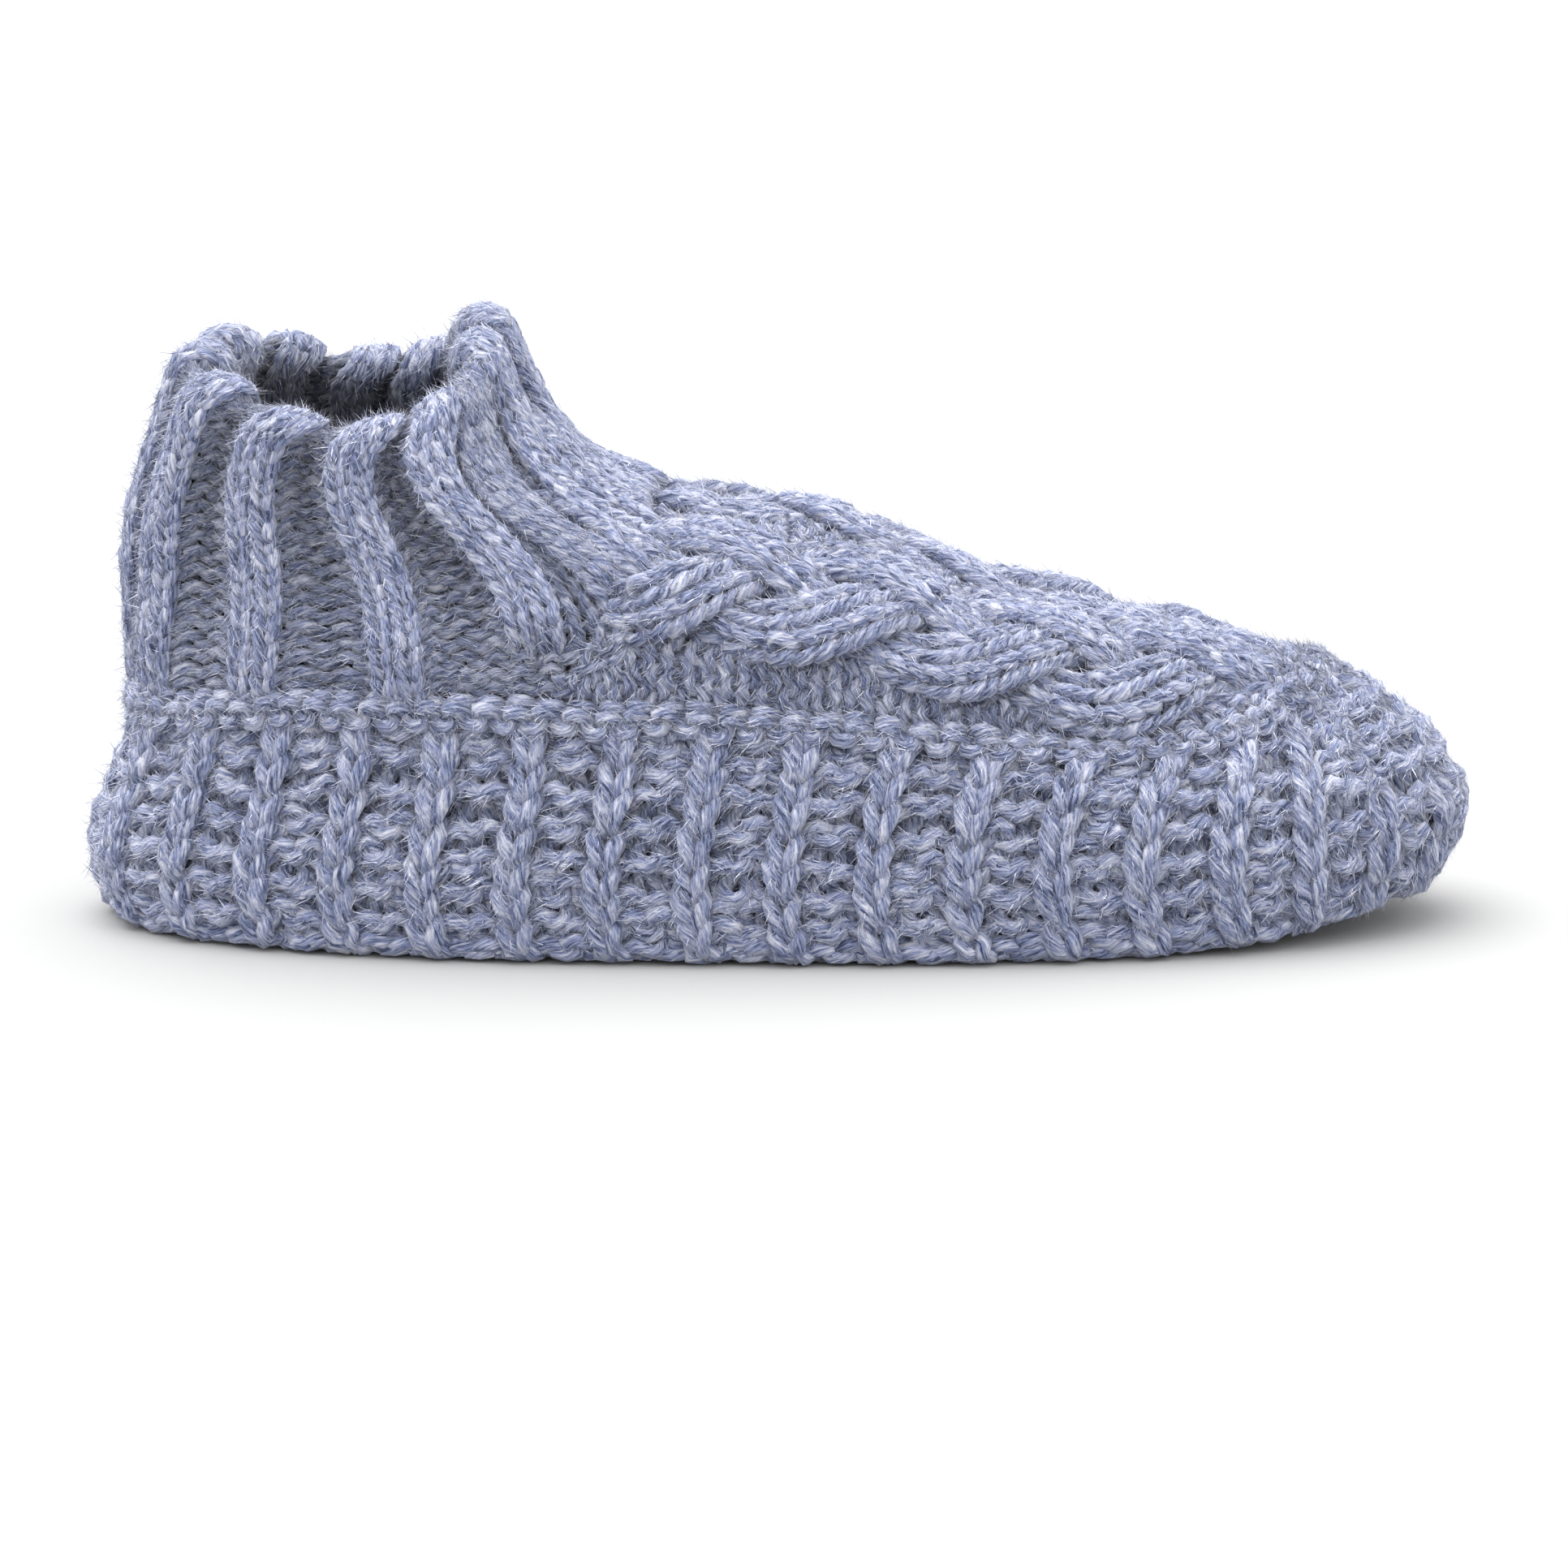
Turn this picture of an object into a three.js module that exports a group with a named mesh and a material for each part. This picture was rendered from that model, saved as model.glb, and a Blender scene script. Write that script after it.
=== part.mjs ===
// A knitted bootie slipper: a flat sole panel and footbed inside a rib-knit foot band,
// a raised linking seam on the band's upper edge, and a hollow upper with a ribbed collar.
// Millimetres, +X towards the toe, +Z up, origin on the sole's flat underside at mid length.
import * as THREE from "three";

// Driving dimensions
const FOOT_LENGTH = 245; // heel to toe over the rib crests
const BALL_WIDTH = 92.4; // across the ball over the rib crests
const BAND_HEIGHT = 42; // floor to the linking seam at the waist of the foot
const TOE_SPRING = 5; // lift of the sole's front edge
const SPRING_START = 65; // where the sole leaves the floor, ahead of mid length
const SHAFT_RISE = 65; // linking seam to the collar's rim at the heel
const COLLAR_LENGTH = 56; // opening, heel to instep, at the rim
const COLLAR_WIDTH = 53; // opening, side to side, at the rim
const COLLAR_SET = 16.8; // rim's back edge ahead of the heel's rearmost point
const SEAM_SETBACK = 27; // linking seam behind the toe's foremost point

const BAND_WALL = 3.6;
const UPPER_WALL = 3;
const HEM_WALL = 4.6; // the collar is turned in, so it is two layers thick
const HEM_SHARE = 0.86; // share of the upper's rise where the turned hem begins
const SOLE_THICKNESS = 4;
const INSOLE_THICKNESS = 3;
const CLEARANCE = 0.3; // between pieces that meet
const INSOLE_EASE = 0.6; // footbed's edge inside the sole's edge

const SEAM_WIDTH = 4.5; // linking seam, along the wall
const SEAM_PROUD = 1.5; // linking seam, above the wall

const RIB_COUNT = 36; // knit ribs round the foot band
const RIB_RELIEF = 1.2; // crest above the band's mean surface
const GROOVE_RELIEF = 0.6; // purl groove below it
const COLLAR_RIB_WIDTH = 11;
const COLLAR_RIB_RELIEF = 2;
const COLLAR_GROOVE_RELIEF = 1.3;
const RIM_SCALLOP = 1.4; // rise of the rim over each collar rib

const STRAND_WIDTH = 12; // plaited strand on the vamp
const STRAND_RELIEF = 2.4;
const PLAIT_SWING = 11; // strand's swing to each side of its plait's middle
const PLAIT_PERIOD = 81; // one full weave of a strand
const PLAIT_ANGLE = 0.86; // plait's middle, radians down from the vamp's top line
const PLAIT_BACK = -22;
const PLAIT_FRONT = 80;
const ROPE_WIDTH = 8; // twisted rope on the vamp's top line
const ROPE_SWING = 3.2;
const ROPE_PERIOD = 54;
const ROPE_RELIEF = 1.1;

const HEEL_ROUNDNESS = 2.4; // exponents of the outline's oval, 2 being an ellipse
const TOE_ROUNDNESS = 2.15;

// Mesh density
const COLUMNS_PER_RIB = 3;
const COLUMNS = RIB_COUNT * COLUMNS_PER_RIB;
const HALF_COLUMNS = COLUMNS / 2;
const OUTLINE_STEPS = 240;

function table(columns, rows) {
  return rows.map((row) => Object.fromEntries(columns.map((column, i) => [column, row[i]])));
}

// Foot band, from the sole's edge to the linking seam. back and front are shares of the reach
// from mid length, half of the ball's half width, widest of the reach, and the last five are
// heights at the heel, quarter, waist, ball and toe as shares of the band's height. The seam's
// own front follows from its setback.
const BAND_SECTIONS = table(
  ["place", "back", "front", "half", "widest", "heel", "quarter", "waist", "ball", "toe"],
  [
    ["sole edge", 0.935, 0.886, 0.915, 0.1, 0.0, 0.0, 0.0, 0.0, 0.0],
    ["curl", 0.962, 0.926, 0.957, 0.1, 0.02, 0.02, 0.02, 0.02, 0.02],
    ["welt", 0.984, 0.958, 0.985, 0.1, 0.1, 0.1, 0.1, 0.1, 0.1],
    ["widest", 1.0, 1.0, 1.0, 0.1, 0.34, 0.36, 0.36, 0.36, 0.36],
    ["side", 0.975, 0.967, 0.973, 0.06, 0.63, 0.67, 0.67, 0.62, 0.66],
    ["shoulder", 0.955, 0.9, 0.935, 0.03, 0.79, 0.86, 0.84, 0.74, 0.87],
    ["seam", 0.94, null, 0.88, 0.0, 0.917, 1.02, 0.993, 0.845, 1.05],
  ],
);

// Upper, from the linking seam to the collar's rim. back, front, half and widest are shares of
// the way from the seam's outline to the rim's, and the heights are shares of the shaft's rise.
const UPPER_SECTIONS = table(
  ["place", "back", "front", "half", "widest", "heel", "quarter", "waist", "ball", "toe"],
  [
    ["vamp end", -0.08, 0.078, -0.02, 0.066, 0.1, 0.085, 0.097, 0.123, 0.062],
    ["toe box", -0.13, 0.191, 0.08, 0.158, 0.208, 0.185, 0.205, 0.235, 0.123],
    ["ball", -0.13, 0.333, 0.3, 0.29, 0.315, 0.285, 0.315, 0.345, 0.168],
    ["waist", -0.13, 0.482, 0.52, 0.46, 0.423, 0.385, 0.41, 0.45, 0.31],
    ["instep", -0.05, 0.638, 0.67, 0.63, 0.531, 0.485, 0.5, 0.53, 0.44],
    ["ankle", 0.17, 0.775, 0.79, 0.763, 0.638, 0.585, 0.585, 0.61, 0.445],
    ["throat", 0.42, 0.866, 0.87, 0.868, 0.746, 0.677, 0.655, 0.69, 0.5],
    ["shaft", 0.64, 0.926, 0.92, 0.934, 0.846, 0.754, 0.715, 0.77, 0.615],
    ["hem", 0.84, 0.968, 0.96, 0.974, 0.931, 0.815, 0.76, 0.84, 0.765],
    ["rim", 1.0, 1.0, 1.0, 1.0, 0.985, 0.865, 0.8, 0.915, 0.935],
  ],
);

// Sizes that follow from the driving dimensions
const soleRow = BAND_SECTIONS[0];
const seamRow = BAND_SECTIONS[BAND_SECTIONS.length - 1];
const reach = FOOT_LENGTH / 2 - RIB_RELIEF;
const ballHalf = BALL_WIDTH / 2 - RIB_RELIEF;
const soleFront = soleRow.front * reach;
const seamBack = -seamRow.back * reach;
const seamFront = FOOT_LENGTH / 2 - SEAM_SETBACK;
const seamHalf = seamRow.half * ballHalf;
const collarBack = -FOOT_LENGTH / 2 + COLLAR_SET + RIB_RELIEF;
const collarFront = collarBack + COLLAR_LENGTH;

const SEAM_LEVEL = BAND_SECTIONS.length - 1;
const RIM_LEVEL = SEAM_LEVEL + UPPER_SECTIONS.length;
const HEIGHT_COLUMNS = ["toe", "ball", "waist", "quarter", "heel"];
const HEIGHT_ANGLES = [0, 50, 90, 125, 180].map(THREE.MathUtils.degToRad);

// Hermite curve through the values at the given places, level at both ends when asked.
function curve(places, values, at, levelEnds) {
  const last = places.length - 1;
  const x = THREE.MathUtils.clamp(at, places[0], places[last]);
  let k = 0;
  while (k < last - 1 && x > places[k + 1]) k += 1;
  const slope = (i) => {
    if (levelEnds && (i === 0 || i === last)) return 0;
    const low = Math.max(i - 1, 0);
    const high = Math.min(i + 1, last);
    return (values[high] - values[low]) / (places[high] - places[low]);
  };
  const span = places[k + 1] - places[k];
  const s = (x - places[k]) / span;
  const rise = values[k + 1] - values[k];
  const bend = s * (1 - s);
  const ease = s * s * (3 - 2 * s);
  return values[k] + rise * ease + span * bend * (slope(k) * (1 - s) - slope(k + 1) * s);
}

function smooth(low, high, at) {
  return THREE.MathUtils.smoothstep(at, low, high);
}

function floorLift(x) {
  const share = THREE.MathUtils.clamp((x - SPRING_START) / (soleFront - SPRING_START), 0, 1);
  return TOE_SPRING * share * share;
}

// One row of the tables in real sizes.
const seamHeights = HEIGHT_COLUMNS.map((column) => seamRow[column] * BAND_HEIGHT);
const bandSizes = BAND_SECTIONS.map((row) => ({
  back: -row.back * reach,
  front: row === seamRow ? seamFront : row.front * reach,
  half: row.half * ballHalf,
  widest: row.widest * reach,
  heights: HEIGHT_COLUMNS.map((column) => row[column] * BAND_HEIGHT),
}));
const upperSizes = UPPER_SECTIONS.map((row) => ({
  back: THREE.MathUtils.lerp(seamBack, collarBack, row.back),
  front: THREE.MathUtils.lerp(seamFront, collarFront, row.front),
  half: THREE.MathUtils.lerp(seamHalf, COLLAR_WIDTH / 2, row.half),
  widest: THREE.MathUtils.lerp(0, (collarBack + collarFront) / 2, row.widest),
  heights: HEIGHT_COLUMNS.map((column, i) => seamHeights[i] + row[column] * SHAFT_RISE),
}));
const sections = [...bandSizes, ...upperSizes];
const levels = [...sections.keys()];

function sectionAt(level) {
  const between = (read) => curve(levels, sections.map(read), level, false);
  return {
    back: between((section) => section.back),
    front: between((section) => section.front),
    half: between((section) => section.half),
    widest: between((section) => section.widest),
    heights: HEIGHT_COLUMNS.map((column, i) => between((section) => section.heights[i])),
  };
}

// Above and below its widest level the band is shorter, and its ribs close up round the toe
// so that they stay upright along the side. place runs from the heel to the toe.
const RIB_FAN = table(
  ["place", "shift"],
  [
    [0, 0],
    [0.25, 0.01],
    [0.5, 0.05],
    [0.75, 0.1],
    [0.88, 0.062],
    [1, 0],
  ],
);
const fanPlaces = RIB_FAN.map((row) => row.place);
const fanShifts = RIB_FAN.map((row) => row.shift);

function fannedPlace(place, front) {
  const shortened = Math.min((reach - front) / (reach - seamFront), 1);
  return place + shortened * curve(fanPlaces, fanShifts, place, false);
}

// Collar ribs of one side: place as shares of the half outline from the heel, at the seam and
// at the rim, and the share of the upper's rise where the rib begins. The columns of stitches
// lean with them: upright at the heel, and running back along the vamp to the instep.
const COLLAR_RIBS = table(
  ["rib", "atSeam", "atRim", "begins"],
  [
    ["heel rib", 0.0, 0.0, 0.0],
    ["back rib", 0.06, 0.2, 0.0],
    ["quarter rib", 0.155, 0.385, 0.0],
    ["side rib", 0.265, 0.545, 0.0],
    ["leaning rib", 0.4, 0.67, 0.3],
    ["instep rib", 0.56, 0.81, 0.34],
    ["front rib", 1.0, 1.0, 0.55],
  ],
);

const seamPlaces = COLLAR_RIBS.map((rib) => rib.atSeam);
const rimPlaces = COLLAR_RIBS.map((rib) => rib.atRim);

function upperShare(level) {
  return (level - SEAM_LEVEL) / (RIM_LEVEL - SEAM_LEVEL);
}

function columnPlace(column, level, front) {
  const fanned = fannedPlace(column / HALF_COLUMNS, front);
  if (level <= SEAM_LEVEL) return fanned;
  return THREE.MathUtils.lerp(fanned, curve(seamPlaces, rimPlaces, fanned, false), upperShare(level));
}

function signedPower(value, power) {
  return Math.sign(value) * Math.abs(value) ** power;
}

// Mean surface at a level: the columns are evenly spaced round the outline, from the heel's
// middle along the +Y side to the toe and back along the -Y side.
const outlines = new Map();
function outline(level) {
  if (outlines.has(level)) return outlines.get(level);
  const section = sectionAt(level);
  const half = [];
  for (let i = 0; i <= OUTLINE_STEPS; i += 1) {
    const angle = Math.PI * (1 - i / OUTLINE_STEPS);
    const ahead = Math.cos(angle) >= 0;
    const power = 2 / (ahead ? TOE_ROUNDNESS : HEEL_ROUNDNESS);
    const arm = ahead ? section.front - section.widest : section.widest - section.back;
    const x = section.widest + arm * signedPower(Math.cos(angle), power);
    const y = section.half * signedPower(Math.sin(angle), power);
    const lift = curve(HEIGHT_ANGLES, section.heights, angle, true);
    half.push(new THREE.Vector3(x, y, lift + floorLift(x)));
  }
  const run = [0];
  for (let i = 1; i < half.length; i += 1) run.push(run[i - 1] + half[i].distanceTo(half[i - 1]));
  const total = run[run.length - 1];
  const points = [];
  const shares = [];
  let k = 0;
  for (let column = 0; column <= HALF_COLUMNS; column += 1) {
    const target = total * columnPlace(column, level, section.front);
    while (k < run.length - 2 && run[k + 1] < target) k += 1;
    const share = (target - run[k]) / (run[k + 1] - run[k]);
    points.push(half[k].clone().lerp(half[k + 1], share));
    shares.push(target / total);
  }
  for (let column = HALF_COLUMNS - 1; column > 0; column -= 1) {
    points.push(points[column].clone().multiply(new THREE.Vector3(1, -1, 1)));
  }
  const made = { points, shares, halfRun: total };
  outlines.set(level, made);
  return made;
}

// Frame of the mean surface at each column: point, direction up the wall, and outward normal.
const frames = new Map();
function framesAt(level) {
  if (frames.has(level)) return frames.get(level);
  const step = 0.02;
  const above = outline(Math.min(level + step, RIM_LEVEL)).points;
  const below = outline(Math.max(level - step, 0)).points;
  const { points, shares, halfRun } = outline(level);
  const made = points.map((point, i) => {
    const next = points[(i + 1) % COLUMNS];
    const before = points[(i + COLUMNS - 1) % COLUMNS];
    const along = next.clone().sub(before).normalize();
    const rough = above[i].clone().sub(below[i]);
    const up = rough.addScaledVector(along, -rough.dot(along)).normalize();
    const normal = up.clone().cross(along).normalize();
    const share = shares[Math.min(i, COLUMNS - i)];
    return { point, up, normal, share, halfRun, level, column: i };
  });
  frames.set(level, made);
  return made;
}

function bump(distance, width) {
  const share = Math.min(Math.abs(distance) / (width / 2), 1);
  return 0.5 + 0.5 * Math.cos(Math.PI * share);
}

function bandRelief(frame) {
  const onCrest = frame.column % COLUMNS_PER_RIB === 0;
  return onCrest ? RIB_RELIEF : -GROOVE_RELIEF;
}

function collarRibRelief(frame) {
  const rise = upperShare(frame.level);
  let crest = 0;
  for (const rib of COLLAR_RIBS) {
    const middle = THREE.MathUtils.lerp(rib.atSeam, rib.atRim, rise);
    const distance = (frame.share - middle) * frame.halfRun;
    const begun = rib.begins === 0 ? 1 : smooth(rib.begins - 0.08, rib.begins + 0.08, rise);
    crest = Math.max(crest, bump(distance, COLLAR_RIB_WIDTH * 1.5) * begun);
  }
  return crest;
}

// The plaits lie on the vamp's two shoulders, three strands each, and a two-strand rope
// lies on its top line. angle is measured down from that line.
function strandRelief(x, across, swing, period, strands, width) {
  let height = 0;
  for (let strand = 0; strand < strands; strand += 1) {
    const turn = (2 * Math.PI * x) / period + (2 * Math.PI * strand) / strands;
    const offset = across - swing * Math.sin(turn);
    const over = 0.7 - 0.3 * Math.sin(2 * turn);
    height = Math.max(height, bump(offset, width) * over);
  }
  return height;
}

function vampRelief(point) {
  const arm = THREE.MathUtils.clamp(point.x / seamFront, 0, 0.98);
  const vampHalf = seamHalf * (1 - arm ** TOE_ROUNDNESS) ** (1 / TOE_ROUNDNESS);
  const angle = Math.asin(Math.min(Math.abs(point.y) / vampHalf, 1));
  const across = (angle - PLAIT_ANGLE) * vampHalf;
  const plait = strandRelief(point.x, across, PLAIT_SWING, PLAIT_PERIOD, 3, STRAND_WIDTH);
  const rope = strandRelief(point.x, point.y, ROPE_SWING, ROPE_PERIOD, 2, ROPE_WIDTH);
  const risen = smooth(PLAIT_BACK - 8, PLAIT_BACK + 4, point.x);
  const faded = smooth(PLAIT_FRONT - 6, PLAIT_FRONT + 6, point.x);
  return risen * (1 - faded) * Math.max(plait * STRAND_RELIEF, rope * ROPE_RELIEF);
}

function upperRelief(frame) {
  const rise = upperShare(frame.level);
  const vamp = vampRelief(frame.point);
  const onShaft = 1 - smooth(PLAIT_BACK - 10, PLAIT_BACK + 6, frame.point.x);
  const crest = collarRibRelief(frame);
  const shaft = crest * (COLLAR_RIB_RELIEF + COLLAR_GROOVE_RELIEF) - COLLAR_GROOVE_RELIEF;
  return vamp + onShaft * shaft * smooth(-0.05, 0.12, rise);
}

function place(frame, upwards, outwards) {
  const spot = frame.point.clone().addScaledVector(frame.up, upwards);
  return spot.addScaledVector(frame.normal, outwards);
}

// A closed ring: each row is one line of points round the foot, and the rows close on themselves.
function ringGeometry(rows) {
  const positions = rows.flat().flatMap((point) => [point.x, point.y, point.z]);
  const index = [];
  rows.forEach((row, r) => {
    const above = (r + 1) % rows.length;
    for (let c = 0; c < COLUMNS; c += 1) {
      const next = (c + 1) % COLUMNS;
      const a = r * COLUMNS + c;
      const b = r * COLUMNS + next;
      const d = above * COLUMNS + c;
      const e = above * COLUMNS + next;
      index.push(a, d, e, a, e, b);
    }
  });
  return closedGeometry(positions, index);
}

function closedGeometry(positions, index) {
  const geometry = new THREE.BufferGeometry();
  geometry.setAttribute("position", new THREE.Float32BufferAttribute(positions, 3));
  geometry.setIndex(index);
  geometry.computeVertexNormals();
  return geometry;
}

// The band's lower edge is turned under, so that its end faces the sole panel squarely.
function soleEdgeRow(inwards) {
  return framesAt(0).map((frame) => frame.point.clone().add(new THREE.Vector3(0, 0, inwards)));
}

function bandGeometry() {
  const outerLevels = [0.5, 1.2, 2, 3, 4, 5];
  const innerLevels = [4.6, 2];
  const edge = SEAM_WIDTH / 2 + CLEARANCE;
  const seam = framesAt(SEAM_LEVEL);
  const reliefShare = (level) => smooth(0, 2, level);
  const rows = [
    soleEdgeRow(0),
    ...outerLevels.map((level) => (
      framesAt(level).map((frame) => place(frame, 0, bandRelief(frame) * reliefShare(level)))
    )),
    seam.map((frame) => place(frame, -edge, bandRelief(frame) * 0.5)),
    seam.map((frame) => place(frame, -edge, -BAND_WALL)),
    ...innerLevels.map((level) => framesAt(level).map((frame) => place(frame, 0, -BAND_WALL))),
    soleEdgeRow(BAND_WALL),
  ];
  return ringGeometry(rows);
}

function seamGeometry() {
  const side = SEAM_WIDTH / 2;
  const shoulder = SEAM_WIDTH / 4;
  const section = table(
    ["upwards", "outwards"],
    [
      [-side, 0.2],
      [-shoulder, SEAM_PROUD],
      [shoulder, SEAM_PROUD],
      [side, 0.2],
      [side, -UPPER_WALL],
      [-side, -BAND_WALL],
    ],
  );
  const seam = framesAt(SEAM_LEVEL);
  const row = (spot) => seam.map((frame) => place(frame, spot.upwards, spot.outwards));
  return ringGeometry(section.map(row));
}

function hemWall(level) {
  const turned = smooth(HEM_SHARE - 0.05, HEM_SHARE + 0.05, upperShare(level));
  return THREE.MathUtils.lerp(UPPER_WALL, HEM_WALL, turned);
}

// The rim is rounded from the outer to the inner face, and stands higher over each rib.
function rimRow(turn) {
  return framesAt(RIM_LEVEL).map((frame) => {
    const outer = upperRelief(frame);
    const middle = (outer - HEM_WALL) / 2;
    const radius = (outer + HEM_WALL) / 2;
    const scallop = collarRibRelief(frame) * RIM_SCALLOP;
    const upwards = (radius + scallop) * Math.sin(turn);
    return place(frame, upwards, middle + radius * Math.cos(turn));
  });
}

function upperGeometry() {
  const edge = SEAM_WIDTH / 2 + CLEARANCE;
  const seam = framesAt(SEAM_LEVEL);
  const outerLevels = [
    0.9, 1.4, 1.8, 2.15, 2.5, 2.8, 3.1, 3.4, 3.7, 4, 4.3, 4.6, 4.9, 5.2, 5.6, 6, 6.5, 7, 7.6, 8.2, 8.8, 9.4, 10,
  ];
  const innerLevels = [10, 8.6, 6.5, 4, 1.5];
  const rimTurns = [0.28, 0.5, 0.72].map((share) => share * Math.PI);
  const onUpper = (level) => framesAt(SEAM_LEVEL + level);
  const rows = [
    seam.map((frame) => place(frame, edge, 0)),
    ...outerLevels.map((level) => onUpper(level).map((frame) => place(frame, 0, upperRelief(frame)))),
    ...rimTurns.map(rimRow),
    ...innerLevels.map((level) => (
      onUpper(level).map((frame) => place(frame, 0, -hemWall(SEAM_LEVEL + level)))
    )),
    seam.map((frame) => place(frame, edge, -UPPER_WALL)),
  ];
  return ringGeometry(rows);
}

// A flat panel with the outline of the sole's edge: strips run across the foot, so that the
// panel bends with the toe spring.
function panelGeometry(inset, bottom, thickness) {
  const rim = framesAt(0).map((frame, i, all) => {
    const next = all[(i + 1) % COLUMNS].point;
    const before = all[(i + COLUMNS - 1) % COLUMNS].point;
    const along = next.clone().sub(before).setZ(0).normalize();
    const inward = new THREE.Vector3(along.y, -along.x, 0);
    return frame.point.clone().addScaledVector(inward, inset);
  });
  const positions = [];
  for (const height of [bottom, bottom + thickness]) {
    rim.forEach((point) => positions.push(point.x, point.y, floorLift(point.x) + height));
  }
  const index = [];
  for (let i = 0; i < COLUMNS; i += 1) {
    const next = (i + 1) % COLUMNS;
    index.push(i, COLUMNS + i, COLUMNS + next, i, COLUMNS + next, next);
  }
  for (let i = 0; i < HALF_COLUMNS; i += 1) {
    const far = (COLUMNS - i) % COLUMNS;
    const nextFar = COLUMNS - i - 1;
    const strip = [];
    if (i > 0) strip.push([i, nextFar, far]);
    if (i < HALF_COLUMNS - 1) strip.push([i, i + 1, nextFar]);
    strip.forEach(([a, b, c]) => {
      index.push(a, b, c);
      index.push(COLUMNS + a, COLUMNS + c, COLUMNS + b);
    });
  }
  return closedGeometry(positions, index);
}

function clothMaterial(colour, roughness) {
  return new THREE.MeshStandardMaterial({ color: colour, roughness, metalness: 0 });
}

function piece(name, geometry, material) {
  const mesh = new THREE.Mesh(geometry, material);
  mesh.name = name;
  return mesh;
}

const slipper = new THREE.Group();
slipper.add(
  piece("sole", panelGeometry(CLEARANCE, 0, SOLE_THICKNESS), clothMaterial(0x6f7c9c, 0.95)),
  piece(
    "insole",
    panelGeometry(INSOLE_EASE, SOLE_THICKNESS + CLEARANCE, INSOLE_THICKNESS),
    clothMaterial(0x8d97b3, 0.95),
  ),
  piece("foot_band", bandGeometry(), clothMaterial(0x8f9cbf, 0.95)),
  piece("linking_seam", seamGeometry(), clothMaterial(0xa9b4cf, 0.95)),
  piece("upper", upperGeometry(), clothMaterial(0x97a3c4, 0.95)),
);

export default slipper;
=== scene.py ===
"""A knitted bootie slipper in marled blue yarn, built stitch by stitch on the form of its CAD solids."""

import math

import bmesh
import bpy
import numpy as np
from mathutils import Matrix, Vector


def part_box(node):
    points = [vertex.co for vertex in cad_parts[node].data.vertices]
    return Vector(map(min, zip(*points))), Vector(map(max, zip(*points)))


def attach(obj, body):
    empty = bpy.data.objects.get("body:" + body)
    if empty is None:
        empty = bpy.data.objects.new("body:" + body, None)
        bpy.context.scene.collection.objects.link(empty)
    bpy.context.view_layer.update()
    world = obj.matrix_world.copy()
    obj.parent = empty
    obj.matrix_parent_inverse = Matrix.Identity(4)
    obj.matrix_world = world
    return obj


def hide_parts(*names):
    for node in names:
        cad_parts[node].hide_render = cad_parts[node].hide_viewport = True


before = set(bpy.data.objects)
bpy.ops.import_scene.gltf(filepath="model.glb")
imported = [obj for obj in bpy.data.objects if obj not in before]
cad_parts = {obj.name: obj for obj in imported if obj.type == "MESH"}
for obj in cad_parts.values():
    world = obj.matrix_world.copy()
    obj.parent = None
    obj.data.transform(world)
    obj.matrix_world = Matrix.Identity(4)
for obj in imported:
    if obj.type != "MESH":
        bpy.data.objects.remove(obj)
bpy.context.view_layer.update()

bl_info = {
    "name": "Knitted bootie slipper",
    "version": (1, 0, 0),
    "blender": (4, 5, 0),
    "location": "3D View > Sidebar > Slipper",
    "description": "Knits a ribbed and plaited bootie slipper round its CAD solids",
    "category": "Add Mesh",
}

MM = 0.001
BAND_LOW, BAND_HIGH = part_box("foot_band")

# Sizes of the foot, in millimetres. The length and the width at the ball are the foot band's.
RIB_RELIEF = 1.2
FOOT_LENGTH = (BAND_HIGH.x - BAND_LOW.x) / MM
BALL_WIDTH = (BAND_HIGH.y - BAND_LOW.y) / MM
BAND_HEIGHT = 42.0
TOE_SPRING = 5.0
SPRING_START = 65.0
SHAFT_RISE = 65.0
COLLAR_LENGTH = 56.0
COLLAR_WIDTH = 53.0
COLLAR_SET = 16.8
SEAM_SETBACK = 27.0
HEEL_ROUNDNESS = 2.4
TOE_ROUNDNESS = 2.15
OUTLINE_STEPS = 240

# Sections from the sole's edge to the linking seam. back and front are shares of the reach from
# mid length, half of the ball's half width, widest of the reach, and the last five are heights at
# the toe, ball, waist, quarter and heel as shares of the band's height.
BAND_SECTIONS = np.array([
    [0.935, 0.886, 0.915, 0.1, 0.0, 0.0, 0.0, 0.0, 0.0],
    [0.962, 0.926, 0.957, 0.1, 0.02, 0.02, 0.02, 0.02, 0.02],
    [0.984, 0.958, 0.985, 0.1, 0.1, 0.1, 0.1, 0.1, 0.1],
    [1.0, 1.0, 1.0, 0.1, 0.36, 0.36, 0.36, 0.36, 0.34],
    [0.965, 0.967, 0.973, 0.06, 0.61, 0.62, 0.67, 0.67, 0.63],
    [0.943, 0.9, 0.935, 0.03, 0.79, 0.74, 0.84, 0.86, 0.79],
    [0.932, 0.0, 0.88, 0.0, 1.05, 0.845, 0.993, 1.02, 0.917],
])

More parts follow.
